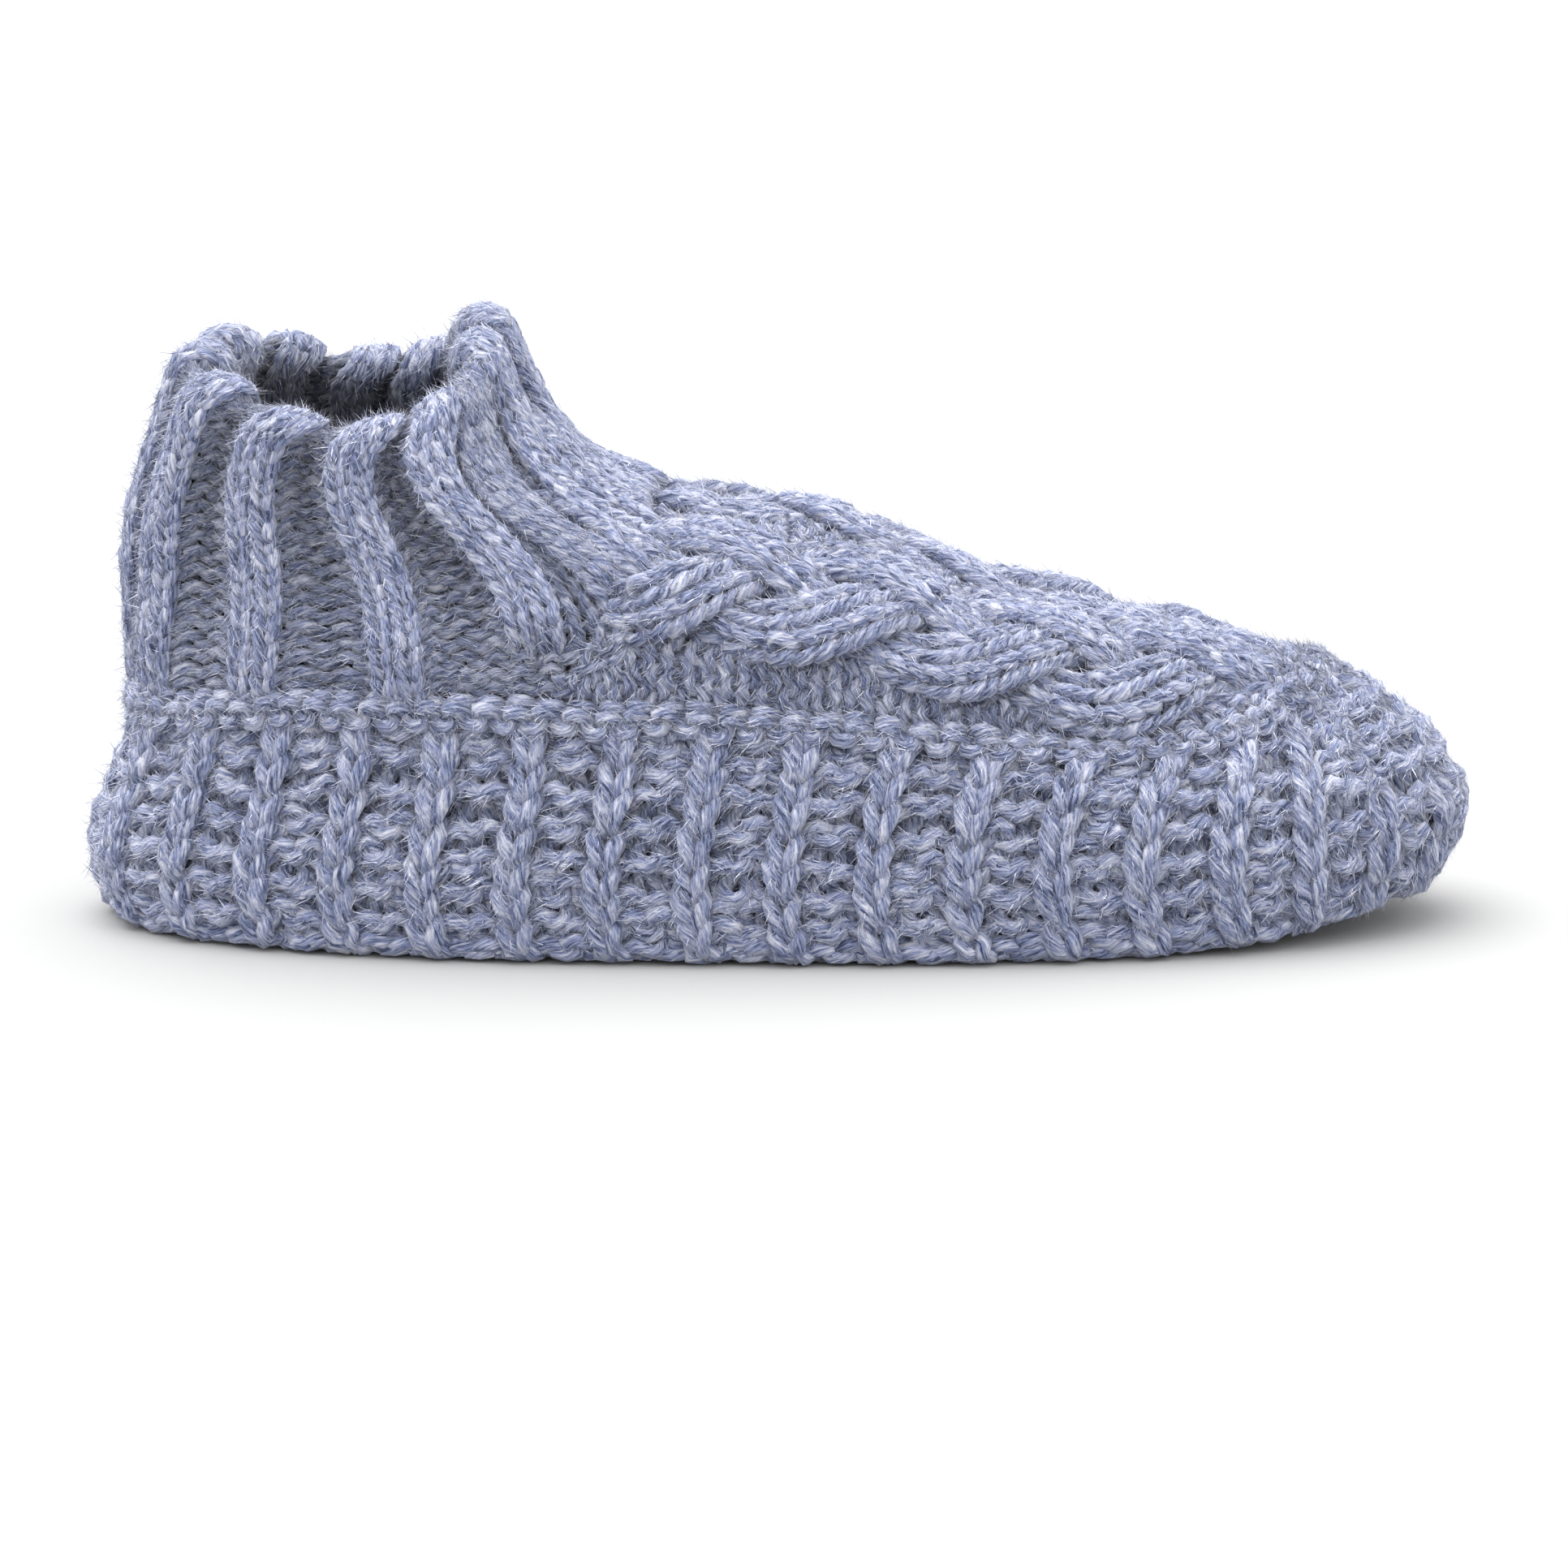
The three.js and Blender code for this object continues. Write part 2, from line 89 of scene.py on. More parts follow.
# Sections from the linking seam to the collar's rim. The first four are shares of the way from
# the seam's outline to the rim's, and the heights are shares of the shaft's rise.
UPPER_SECTIONS = np.array([
    [-0.08, 0.078, -0.02, 0.066, 0.062, 0.123, 0.097, 0.085, 0.1],
    [-0.13, 0.191, 0.08, 0.158, 0.123, 0.235, 0.205, 0.185, 0.208],
    [-0.13, 0.333, 0.3, 0.29, 0.168, 0.345, 0.315, 0.285, 0.315],
    [-0.13, 0.482, 0.52, 0.46, 0.31, 0.45, 0.41, 0.385, 0.423],
    [-0.05, 0.638, 0.67, 0.63, 0.44, 0.53, 0.5, 0.485, 0.531],
    [0.17, 0.775, 0.79, 0.763, 0.445, 0.61, 0.585, 0.585, 0.638],
    [0.42, 0.866, 0.87, 0.868, 0.5, 0.69, 0.655, 0.677, 0.746],
    [0.64, 0.926, 0.92, 0.934, 0.615, 0.77, 0.715, 0.754, 0.846],
    [0.84, 0.968, 0.96, 0.974, 0.765, 0.84, 0.76, 0.815, 0.931],
    [1.0, 1.0, 1.0, 1.0, 0.935, 0.915, 0.8, 0.865, 0.985],
])
HEIGHT_ANGLES = np.radians([0, 50, 90, 125, 180])  # where the five heights stand round the outline
SEAM_LEVEL = len(BAND_SECTIONS) - 1
RIM_LEVEL = SEAM_LEVEL + len(UPPER_SECTIONS)

# How far the foot band's wales close up round the toe, by their place from heel to toe.
FAN_PLACES = [0, 0.25, 0.5, 0.75, 0.88, 1]
FAN_SHIFTS = [0, 0.01, 0.05, 0.1, 0.062, 0]
BAND_WALES = 108
BAND_HALF = BAND_WALES // 2
BAND_ROWS = 8

# Edges of the shaft's ribs on one side: wale, place at the seam and place at the rim, as shares
# of the half outline from heel to toe. The ribs' middles are given below them.
SHAFT_EDGES = np.array([
    [0, 0.0, 0.0],
    [1, 0.018, 0.05],
    [3, 0.042, 0.15],
    [5, 0.078, 0.25],
    [7, 0.137, 0.335],
    [9, 0.173, 0.435],
    [11, 0.248, 0.51],
    [13, 0.286, 0.605],
    [16, 0.335, 0.635],
    [18, 0.37, 0.735],
    [22, 0.54, 0.8],
    [24, 0.58, 0.88],
    [26, 0.97, 0.95],
    [27, 1.0, 1.0],
])
SHAFT_HALF = 27
RIB_MIDDLES = [0, 4, 8, 12, 17, 24, 27]
SLANT_RIB = 17  # this rib slants down to the plaits and ends there
UPRIGHT_WALES = [13, 16]  # the ribs stand upright before the first and slant from the second on
SHAFT_ROWS = 22  # rows of the shaft below the rim, less what falls below the seam
CLOSEST_ROWS = 19  # the shaft has at least this many rows from the seam to the rim
SLANT_ROWS = [-17, -13]  # rows over which the slanting rib and the plain front begin
PLAIN_WALE = 18  # the plain front begins here
FRONT_WALE = 23.5  # and ends here, at the fold before the instep
ROLL_RADIUS = 4.5  # of the collar's turned rim under a rib, to the middle of its yarn
ROLL_NECK = 1.5  # the rim's radius is this much smaller between the ribs
RIM_DROP = 2.6  # the roll starts this far below the rim's level
COLLAR_TILT = 2.6  # the rim's far side stands this much above level, and its near side below
COLLAR_LEAN = 2.0  # the rim's front stands this much above level, and its heel below
COLLAR_TWIST = 0.018  # share of the half rim by which ribs turn: to the toe on the near side
INSIDE_ROWS = 8  # rows of the collar below the roll, inside

# The line where the shaft ends and the vamp begins: it starts at the seam, leans forward by its
# lean times the height above the seam, and comes no further forward than its top.
EDGE_START = -45.0
EDGE_SEAM = 37.0
EDGE_LEAN = 1.1
EDGE_TOP = -23.0
VAMP_GAP = 5.0  # the vamp's rows run on this far behind that line
VAMP_WALES = 12  # wales of the vamp's rows to each side of the top line

SEAM_ROW = 2.9  # height of one course of the linking seam
PLAIT_BACK = -28.0  # the vamp's plaits end here, toward the shaft
PLAIT_FRONT = 84.0
PLAIT_TAPER = 20.0  # the plaits narrow and sink over this length at the toe
PLAIT_DIP = 9.0  # and sink over this length at the shaft
ROPE_SWING = 4.6  # of the two strands of the rope along the vamp's top line
ROPE_PERIOD = 49.0
ROPE_START = 8.0
YARN_SIDES = 5
LINING_LIFT = 0.6  # of the band's lining above the floor
LINING_OUT = [-4.6, -5.4]  # the two faces of the upper's lining, off the mean surface
LINING_RINGS = [0, 0.6, 1.2, 2, 3, 4, 5, 6, 7, 8, 9, 9.6]  # its rings, in levels above the seam
TWIST = 420.0  # radians of the yarn's twist in a metre
STRAND_STEPS = 11  # points to a stitch of a plait's strand
ROPE_SINK = 1.1  # the rope lies this much deeper than the plaits
SOLE_STITCH = (4.95, 5.1)  # height and width of the underside's stitches
SOLE_ROWS = (-23, 22, 8)  # its first and last row from mid length, and its wales to each side
SOLE_MARGIN = 3.2  # the underside's yarn ends this far inside the sole's edge
MARL_SHIFT = 0.137  # metres of marl between one run of yarn and the next


class SlipperSizes(bpy.types.PropertyGroup):
    """Sizes of the yarns and stitches, in metres, and the colours of the marl."""

    band_yarn: bpy.props.FloatProperty(
        name="Band yarn", description="Radius of the foot band's yarn", default=0.00155, unit="LENGTH"
    )
    upper_yarn: bpy.props.FloatProperty(
        name="Upper yarn", description="Radius of the upper's yarn", default=0.00122, unit="LENGTH"
    )
    row_height: bpy.props.FloatProperty(
        name="Row height", description="Height of one row of the upper", default=0.00324, unit="LENGTH"
    )
    wale_width: bpy.props.FloatProperty(
        name="Wale width", description="Width of one column of the vamp", default=0.0050, unit="LENGTH"
    )
    strand_wale: bpy.props.FloatProperty(
        name="Strand wale", description="Width of one column of a plait", default=0.0056, unit="LENGTH"
    )
    plait_swing: bpy.props.FloatProperty(
        name="Plait swing", description="A strand's swing to each side", default=0.0105, unit="LENGTH"
    )
    plait_period: bpy.props.FloatProperty(
        name="Plait period", description="Length of a strand's full weave", default=0.081, unit="LENGTH"
    )
    plait_start: bpy.props.FloatProperty(
        name="Plait start", description="Where a strand crosses over", default=-0.009, unit="LENGTH"
    )
    plait_rise: bpy.props.FloatProperty(
        name="Plait rise", description="Upper strand's height on a lower", default=0.0026, unit="LENGTH"
    )
    fuzz_length: bpy.props.FloatProperty(
        name="Fuzz length", description="Length of the loose fibres", default=0.0026, unit="LENGTH"
    )
    fuzz_density: bpy.props.FloatProperty(
        name="Fuzz density", description="Loose fibres on a square metre of yarn", default=1750000.0
    )
    fuzz_width: bpy.props.FloatProperty(
        name="Fuzz width", description="Width of the loose fibres", default=0.00014, unit="LENGTH"
    )
    seed: bpy.props.IntProperty(
        name="Seed", description="Choice of uneven stitches and fibres", default=7
    )
    pale: bpy.props.FloatVectorProperty(
        name="Pale fibre", description="Lightest of the marl", subtype="COLOR", default=(0.48, 0.485, 0.548)
    )
    middle: bpy.props.FloatVectorProperty(
        name="Middle fibre", description="Main colour", subtype="COLOR", default=(0.135, 0.162, 0.277)
    )
    dark: bpy.props.FloatVectorProperty(
        name="Dark fibre", description="Darkest of the marl", subtype="COLOR", default=(0.028, 0.036, 0.072)
    )


class StageSizes(bpy.types.PropertyGroup):
    """The camera, the floor and the lights."""

    elevation: bpy.props.FloatProperty(
        name="Elevation", description="Camera's angle down", default=math.radians(12), subtype="ANGLE"
    )
    frame_width: bpy.props.FloatProperty(
        name="Frame width", description="Width in view at the slipper", default=0.2781, unit="LENGTH"
    )
    lens: bpy.props.FloatProperty(
        name="Lens", description="Focal length", default=180.0, unit="CAMERA"
    )
    aim: bpy.props.FloatVectorProperty(
        name="Aim", description="Middle of the image", default=(0.0006, 0.0, 0.0231), subtype="XYZ"
    )
    key_power: bpy.props.FloatProperty(
        name="Key light", description="Power of the light above", default=3.7
    )
    key_spread: bpy.props.FloatProperty(
        name="Key spread", description="Breadth of that light", default=math.radians(70), subtype="ANGLE"
    )
    sky: bpy.props.FloatProperty(
        name="Sky", description="Brightness of the white surroundings", default=2.1
    )
    floor_shade: bpy.props.FloatProperty(
        name="Floor shade", description="Share of the light that the floor gives back", default=0.34
    )


def curve(places, values, at, level_ends=False):
    """Smooth curve through the values at the given places, level at both ends when asked."""
    places = np.asarray(places, float)
    values = np.asarray(values, float)
    at = np.clip(np.asarray(at, float), places[0], places[-1])
    low = np.maximum(np.arange(len(places)) - 1, 0)
    high = np.minimum(np.arange(len(places)) + 1, len(places) - 1)
    spread = (1,) * (values.ndim - 1)
    slopes = (values[high] - values[low]) / (places[high] - places[low]).reshape(-1, *spread)
    if level_ends:
        slopes[[0, -1]] = 0
    k = np.clip(np.searchsorted(places, at, side="right") - 1, 0, len(places) - 2)
    span = (places[k + 1] - places[k]).reshape(at.shape + spread)
    s = (at - places[k]).reshape(at.shape + spread) / span
    rise = values[k + 1] - values[k]
    bend = span * s * (1 - s) * (slopes[k] * (1 - s) - slopes[k + 1] * s)
    return values[k] + rise * s * s * (3 - 2 * s) + bend


def smooth(low, high, at):
    """Smooth step from 0 to 1 between low and high."""
    s = np.clip((np.asarray(at, float) - low) / (high - low), 0, 1)
    return s * s * (3 - 2 * s)


def unit(vectors):
    return vectors / np.maximum(np.linalg.norm(vectors, axis=-1, keepdims=True), 1e-9)


# The mean surface of the foot, worked out from the sections
REACH = FOOT_LENGTH / 2 - RIB_RELIEF
BALL_HALF = BALL_WIDTH / 2 - RIB_RELIEF
SOLE_FRONT = BAND_SECTIONS[0, 1] * REACH
SEAM_FRONT = FOOT_LENGTH / 2 - SEAM_SETBACK
COLLAR_BACK = -FOOT_LENGTH / 2 + COLLAR_SET + RIB_RELIEF
COLLAR_FRONT = COLLAR_BACK + COLLAR_LENGTH


def section_sizes():
    """Back, front, half width, widest place and five heights of every section, in millimetres."""
    scale = np.array([-REACH, REACH, BALL_HALF, REACH] + [BAND_HEIGHT] * 5)
    band = BAND_SECTIONS * scale
    band[-1, 1] = SEAM_FRONT
    seam = band[-1]
    rim = np.array([COLLAR_BACK, COLLAR_FRONT, COLLAR_WIDTH / 2, (COLLAR_BACK + COLLAR_FRONT) / 2])
    upper = np.empty_like(UPPER_SECTIONS)
    upper[:, :4] = seam[:4] + UPPER_SECTIONS[:, :4] * (rim - seam[:4])
    upper[:, 4:] = seam[4:] + UPPER_SECTIONS[:, 4:] * SHAFT_RISE
    return np.vstack([band, upper])


SECTIONS = section_sizes()


def sections_at(levels):
    return curve(np.arange(len(SECTIONS)), SECTIONS, levels)


def floor_lift(x):
    """Lift of the sole above the floor at the toe."""
    share = np.clip((x - SPRING_START) / (SOLE_FRONT - SPRING_START), 0, 1)
    return TOE_SPRING * share * share


def half_outlines(levels):
    """Points of the half outline at each level from heel to toe, and the run along it."""
    sizes = sections_at(levels)
    back, front, half, widest = (sizes[:, k, None] for k in range(4))
    angles = np.pi * (1 - np.arange(OUTLINE_STEPS + 1) / OUTLINE_STEPS)
    ahead = np.cos(angles) >= 0
    power = np.where(ahead, 2 / TOE_ROUNDNESS, 2 / HEEL_ROUNDNESS)
    arm = np.where(ahead, front - widest, widest - back)
    x = widest + arm * np.sign(np.cos(angles)) * np.abs(np.cos(angles)) ** power
    y = half * np.abs(np.sin(angles)) ** power
    z = curve(HEIGHT_ANGLES, sizes[:, 4:].T, angles, True).T + floor_lift(x)
    points = np.stack([x, y, z], -1)
    steps = np.linalg.norm(np.diff(points, axis=1), axis=-1)
    run = np.concatenate([np.zeros((len(levels), 1)), np.cumsum(steps, 1)], 1)
    return points, run


def ring_points(levels, wales, half, place):
    """Mean surface at each level and wale. Wales count from the heel by +Y to the toe, and back."""
    points, run = half_outlines(levels)
    turned = np.mod(wales, 2 * half)
    folded = np.where(turned > half, 2 * half - turned, turned)
    side = np.where(turned > half, -1.0, 1.0)
    grid = np.empty((len(levels), len(wales), 3))
    rise = np.clip((levels - SEAM_LEVEL) / (RIM_LEVEL - SEAM_LEVEL), 0, 1)
    for i, level in enumerate(levels):
        share = place(folded, level)
        share = share - COLLAR_TWIST * rise[i] * side * np.sin(np.pi * share)
        target = share * run[i, -1]
        for k in range(3):
            grid[i, :, k] = np.interp(target, run[i], points[i, :, k])
    grid[:, :, 1] *= side
    across = grid[:, :, 1] / (COLLAR_WIDTH / 2)
    along = np.clip((grid[:, :, 0] - (COLLAR_BACK + COLLAR_FRONT) / 2) / (COLLAR_LENGTH / 2), -1, 1)
    grid[:, :, 2] += (COLLAR_TILT * across + COLLAR_LEAN * along) * rise[:, None] ** 2
    return grid


def band_place(wale, level):
    """Place of a foot band's wale, as a share of the half outline."""
    front = sections_at(np.array([level]))[0, 1]
    shortened = min((REACH - front) / (REACH - SEAM_FRONT), 1)
    place = wale / BAND_HALF
    return place + shortened * curve(FAN_PLACES, FAN_SHIFTS, place)


def shaft_place(wale, level):
    """Place of a shaft's wale, which goes from its place at the seam to its place at the rim."""
    rise = max((level - SEAM_LEVEL) / (RIM_LEVEL - SEAM_LEVEL), 0)
    at_seam = np.interp(wale, SHAFT_EDGES[:, 0], SHAFT_EDGES[:, 1])
    at_rim = np.interp(wale, SHAFT_EDGES[:, 0], SHAFT_EDGES[:, 2])
    bend = 1.1 + 0.35 * (1 - smooth(*UPRIGHT_WALES, wale))
    return at_seam + (at_rim - at_seam) * rise**bend


def run_up(grid):
    """Distance up each column of a grid of points from its first row."""
    steps = np.linalg.norm(np.diff(grid, axis=0), axis=-1)
    return np.concatenate([np.zeros((1, grid.shape[1])), np.cumsum(steps, 0)], 0)


def relaid(values, run, targets):
    """Each column of a grid resampled at the given distances."""
    out = np.empty(targets.shape + values.shape[2:])
    for j in range(values.shape[1]):
        for k in range(values.shape[2]):
            out[:, j, k] = np.interp(targets[:, j], run[:, j], values[:, j, k])
    return out


def grid_normals(grid):
    """Outward normals of a grid whose rows go up and whose wales run from heel to toe at +Y."""
    return unit(np.cross(np.gradient(grid, axis=0), np.gradient(grid, axis=1)))


class Cloth:
    """Part of the slipper's surface laid out flat, in rows and wales of stitches."""

    def __init__(self, rows, wales, points, normals, period=None):
        self.rows = rows
        self.wales = wales
        self.points = points
        self.normals = normals
        self.period = period

    def at(self, row, wale, out):
        """Points at the given rows and wales, out millimetres off the surface."""
        if self.period:
            wale = np.mod(wale, self.period)
        i = np.interp(row, self.rows, np.arange(len(self.rows)))
        j = np.interp(wale, self.wales, np.arange(len(self.wales)))
        i0 = np.minimum(i.astype(int), len(self.rows) - 2)
        j0 = np.minimum(j.astype(int), len(self.wales) - 2)
        fi = (i - i0)[..., None]
        fj = (j - j0)[..., None]

        def mixed(grid):
            low = grid[i0, j0] * (1 - fj) + grid[i0, j0 + 1] * fj
            high = grid[i0 + 1, j0] * (1 - fj) + grid[i0 + 1, j0 + 1] * fj
            return low * (1 - fi) + high * fi

        return mixed(self.points) + unit(mixed(self.normals)) * np.asarray(out)[..., None]


def band_cloth():
    """The foot band, from the sole's edge to the linking seam."""
    levels = np.linspace(0, SEAM_LEVEL, 61)
    wales = np.arange(-1, BAND_WALES + 1.01, 0.25)
    grid = ring_points(levels, wales, BAND_HALF, band_place)
    normals = grid_normals(grid)
    run = run_up(grid)
    rows = np.linspace(0, BAND_ROWS, BAND_ROWS * 4 + 1)
    targets = run[-1] * (rows / BAND_ROWS)[:, None]
    return Cloth(rows, wales, relaid(grid, run, targets), relaid(normals, run, targets), BAND_WALES)


def shaft_cloth(row_height):
    """The shaft by rows counted from the collar's rim: below it outside, and over it inside."""
    levels = np.linspace(SEAM_LEVEL, RIM_LEVEL, 101)
    wales = np.arange(-1, 2 * SHAFT_HALF + 1.01, 0.25)
    grid = ring_points(levels, wales, SHAFT_HALF, shaft_place)
    normals = grid_normals(grid)
    run = run_up(grid)
    radius = ROLL_RADIUS - ROLL_NECK * (1 - rib_share(folded_wale(wales), 0.0, 0.45, 1.75))
    rise = run[-1] - RIM_DROP
    spacing = np.minimum(rise / CLOSEST_ROWS, row_height * 1.03)
    turn_rows = math.pi * ROLL_RADIUS / row_height
    rows = np.arange(-SHAFT_ROWS - 4, turn_rows + INSIDE_ROWS + 0.6, 0.25)
    points = []
    outward = []
    rim_up = unit(grid[-1] - grid[-3])
    for row in rows:
        depth = max(-row, row - turn_rows, 0)
        target = np.maximum(rise - depth * spacing, 0)[None]
        spot = relaid(grid, run, target)[0]
        normal = unit(relaid(normals, run, target)[0])
        turn = np.clip(row / turn_rows, 0, 1) * math.pi
        up = radius * math.sin(turn)
        back = radius * (math.cos(turn) - 1)
        points.append(spot + rim_up * up[:, None] + normal * back[:, None])
        outward.append(normal * math.cos(turn) + rim_up * math.sin(turn))
    return Cloth(rows, wales, np.array(points), np.array(outward), 2 * SHAFT_HALF), turn_rows


def cross_section(x, steps=48):
    """The upper's section across the foot at x, from its top line down to the linking seam."""
    levels = np.linspace(SEAM_LEVEL, RIM_LEVEL, 201)
    fronts = sections_at(levels)[:, 1]
    top = np.interp(-x, -fronts, levels)
    share = 1 - (1 - np.linspace(1, 0, steps)) ** 2
    at = SEAM_LEVEL + (top - SEAM_LEVEL) * share
    sizes = sections_at(at)
    back, front, half, widest = (sizes[:, k] for k in range(4))
    ahead = x >= widest
    arm = np.where(ahead, front - widest, widest - back)
    roundness = np.where(ahead, TOE_ROUNDNESS, HEEL_ROUNDNESS)
    share_out = np.clip(np.abs(x - widest) / arm, 0, 1)
    cosine = share_out ** (roundness / 2)
    sine = np.sqrt(1 - cosine**2)
    angle = np.where(ahead, np.arccos(cosine), np.pi - np.arccos(cosine))
    z = np.array([curve(HEIGHT_ANGLES, s[4:], a, True) for s, a in zip(sizes, angle)])
    y = half * sine ** (2 / roundness)
    y[0] = 0
    return np.stack([np.full(steps, x), y, z + floor_lift(x)], -1)


def vamp_cloth(row_height, wale_width):
    """The vamp: rows run across the foot and count back from mid length, wales from its top line."""
    places = np.linspace(SEAM_FRONT - 0.3, -60, 160)
    half_wales = VAMP_WALES + 1
    wales = np.arange(-half_wales, half_wales + 0.01, 0.5)
    grid = np.empty((len(places), len(wales), 3))
    depth = np.empty(len(places))
    for i, x in enumerate(places):
        section = cross_section(x)
        run = np.concatenate([[0], np.cumsum(np.linalg.norm(np.diff(section, axis=0), axis=-1))])
        depth[i] = run[-1]
        for k in range(3):
            grid[i, :, k] = np.interp(np.abs(wales) * wale_width, run, section[:, k])
    grid[:, :, 1] *= -np.sign(wales)
    top = grid[:, half_wales * 2]
    along = np.concatenate([[0], np.cumsum(np.linalg.norm(np.diff(top, axis=0), axis=-1))])
    along -= np.interp(0, -places, along)
    rows = along / row_height
    cloth = Cloth(rows, wales, grid, grid_normals(grid))
    cloth.depth = depth
    cloth.places = places
    return cloth


def uneven(rng, count, per_stitch, amount):
    """A slow random change along a yarn, a new value for each stitch."""
    knots = rng.normal(0, amount, count // per_stitch + 3)
    return np.interp(np.arange(count) / per_stitch, np.arange(len(knots)), knots)


class Yarn:
    """Collects the yarn's runs, each a line of points with what it carries at every point."""

    def __init__(self):
        self.runs = []

    def lay(self, points, dress, closed):
        if len(points) > 3:
            self.runs.append((points, dress, closed))

    def lay_kept(self, points, dress, kept):
        """Lays only the stretches of a line where kept is true."""
        if kept.all():
            self.lay(points, dress, False)
            return
        marks = np.flatnonzero(np.diff(np.concatenate([[0], kept.astype(int), [0]])))
        for start, end in zip(marks[::2], marks[1::2]):
            if end - start > 5:
                self.lay(points[start:end], dress[start:end], False)


def stitches(cloth, row, first, last, look, rng, closed=False):
    """One course of stitches at a row of a cloth, from the first wale to the last.

    look holds: steps for each stitch, loop and purl_loop (heights of a loop in rows), lean, depth,
    uneven (how much the loops differ), out (a function of wale and row that lifts the yarn), knit
    (a function of wale and row that is 1 for knit and -1 for purl), level (the height above which
    the yarn takes no painted shade from its depth) and, if need be, shift (in wales, that moves the loops).
    """
    steps = look["steps"]
    count = int(round((last - first) * steps)) + (0 if closed else 1)
    wale = first + np.arange(count) / steps
    phase = 2 * np.pi * (wale + look.get("shift", 0.0))
    uneven_rise = uneven(rng, count, steps, look["uneven"])
    uneven_out = uneven(rng, count, steps // 2, look["uneven"] * 1.3)
    if closed:
        uneven_rise *= np.sin(np.pi * np.arange(count) / count) ** 0.2
    knit = look["knit"](wale, row)
    loop = look["purl_loop"] + (look["loop"] - look["purl_loop"]) * 0.5 * (1 + knit)
    tall = loop * (1 + uneven(rng, count, steps, 0.06))
    at_wale = wale + look["lean"] * np.sin(2 * phase)
    at_row = row - 0.5 * tall * np.cos(phase) + uneven_rise
    base = look["out"](at_wale, at_row)
    front = -knit * np.cos(2 * phase)
    out = base + look["depth"] * front + uneven_out
    points = cloth.at(at_row, at_wale, out)
    thickness = 1 + uneven(rng, count, steps // 2, 0.07) + 0.07 * (1 + np.cos(2 * phase + np.pi))
    # Painted shade: darker where the yarn dives behind its neighbours, and darker the deeper it lies below
    # the level, as in the grooves.
    shade = 0.31 * (1 - front) + 0.165 * np.clip(look["level"] - base, 0, 4)
    return points, dressed(points, cloth.at(at_row, at_wale, out + 1), thickness, shade), wale


def dressed(points, above, thickness, shade):
    """What a run of yarn carries at each point: thickness, way out of the cloth, and painted shade."""
    return np.column_stack([thickness, above - points, np.clip(shade, 0, 1)])


def step(tree, kind, sockets=(), **settings):
    """A node of a tree. Its sockets, by name or number, take a value or another node's output."""
    made = tree.nodes.new(kind)
    for name, value in settings.items():
        setattr(made, name, value)
    for name, value in dict(sockets).items():
        if isinstance(value, bpy.types.NodeSocket):
            tree.links.new(value, made.inputs[name])
        else:
            made.inputs[name].default_value = value
    return made


def new_tree(name, given, result, inputs):
    """A Geometry Nodes tree: its input sockets, its last socket and its inputs' identifiers by name."""
    tree = bpy.data.node_groups.new(name, "GeometryNodeTree")
    tree.interface.new_socket(given, in_out="INPUT", socket_type="NodeSocketGeometry")
    ids = {}
    for label, kind in inputs.items():
        made = tree.interface.new_socket(label, in_out="INPUT", socket_type="NodeSocket" + kind)
        ids[label] = made.identifier
    tree.interface.new_socket(result, in_out="OUTPUT", socket_type="NodeSocketGeometry")
    return tree, tree.nodes.new("NodeGroupInput").outputs, ids


def end_tree(tree, geometry, material):
    """The end of a tree: instances made real, and a material set."""
    real = step(tree, "GeometryNodeRealizeInstances", {"Geometry": geometry})
    dress = step(tree, "GeometryNodeSetMaterial", {"Geometry": real.outputs[0], "Material": material})
    step(tree, "NodeGroupOutput", {0: dress.outputs[0]})


def carried(tree, name, kind="FLOAT"):
    """What a piece carries at each point under the given name."""
    read = step(tree, "GeometryNodeInputNamedAttribute", {"Name": name}, data_type=kind)
    return read.outputs["Attribute"]


def captured(tree, geometry, kind, value):
    """A geometry, and a value kept from this place in the tree."""
    keep = tree.nodes.new("GeometryNodeCaptureAttribute")
    keep.capture_items.new(kind, "Kept")
    tree.links.new(geometry, keep.inputs["Geometry"])
    tree.links.new(value, keep.inputs["Kept"])
    return keep.outputs["Geometry"], keep.outputs["Kept"]


def stored(tree, geometry, name, value):
    """The geometry with a vector stored at each point."""
    keep = step(tree, "GeometryNodeStoreNamedAttribute", data_type="FLOAT_VECTOR", domain="POINT")
    keep.inputs["Name"].default_value = name
    tree.links.new(geometry, keep.inputs["Geometry"])
    tree.links.new(value, keep.inputs["Value"])
    return keep.outputs["Geometry"]


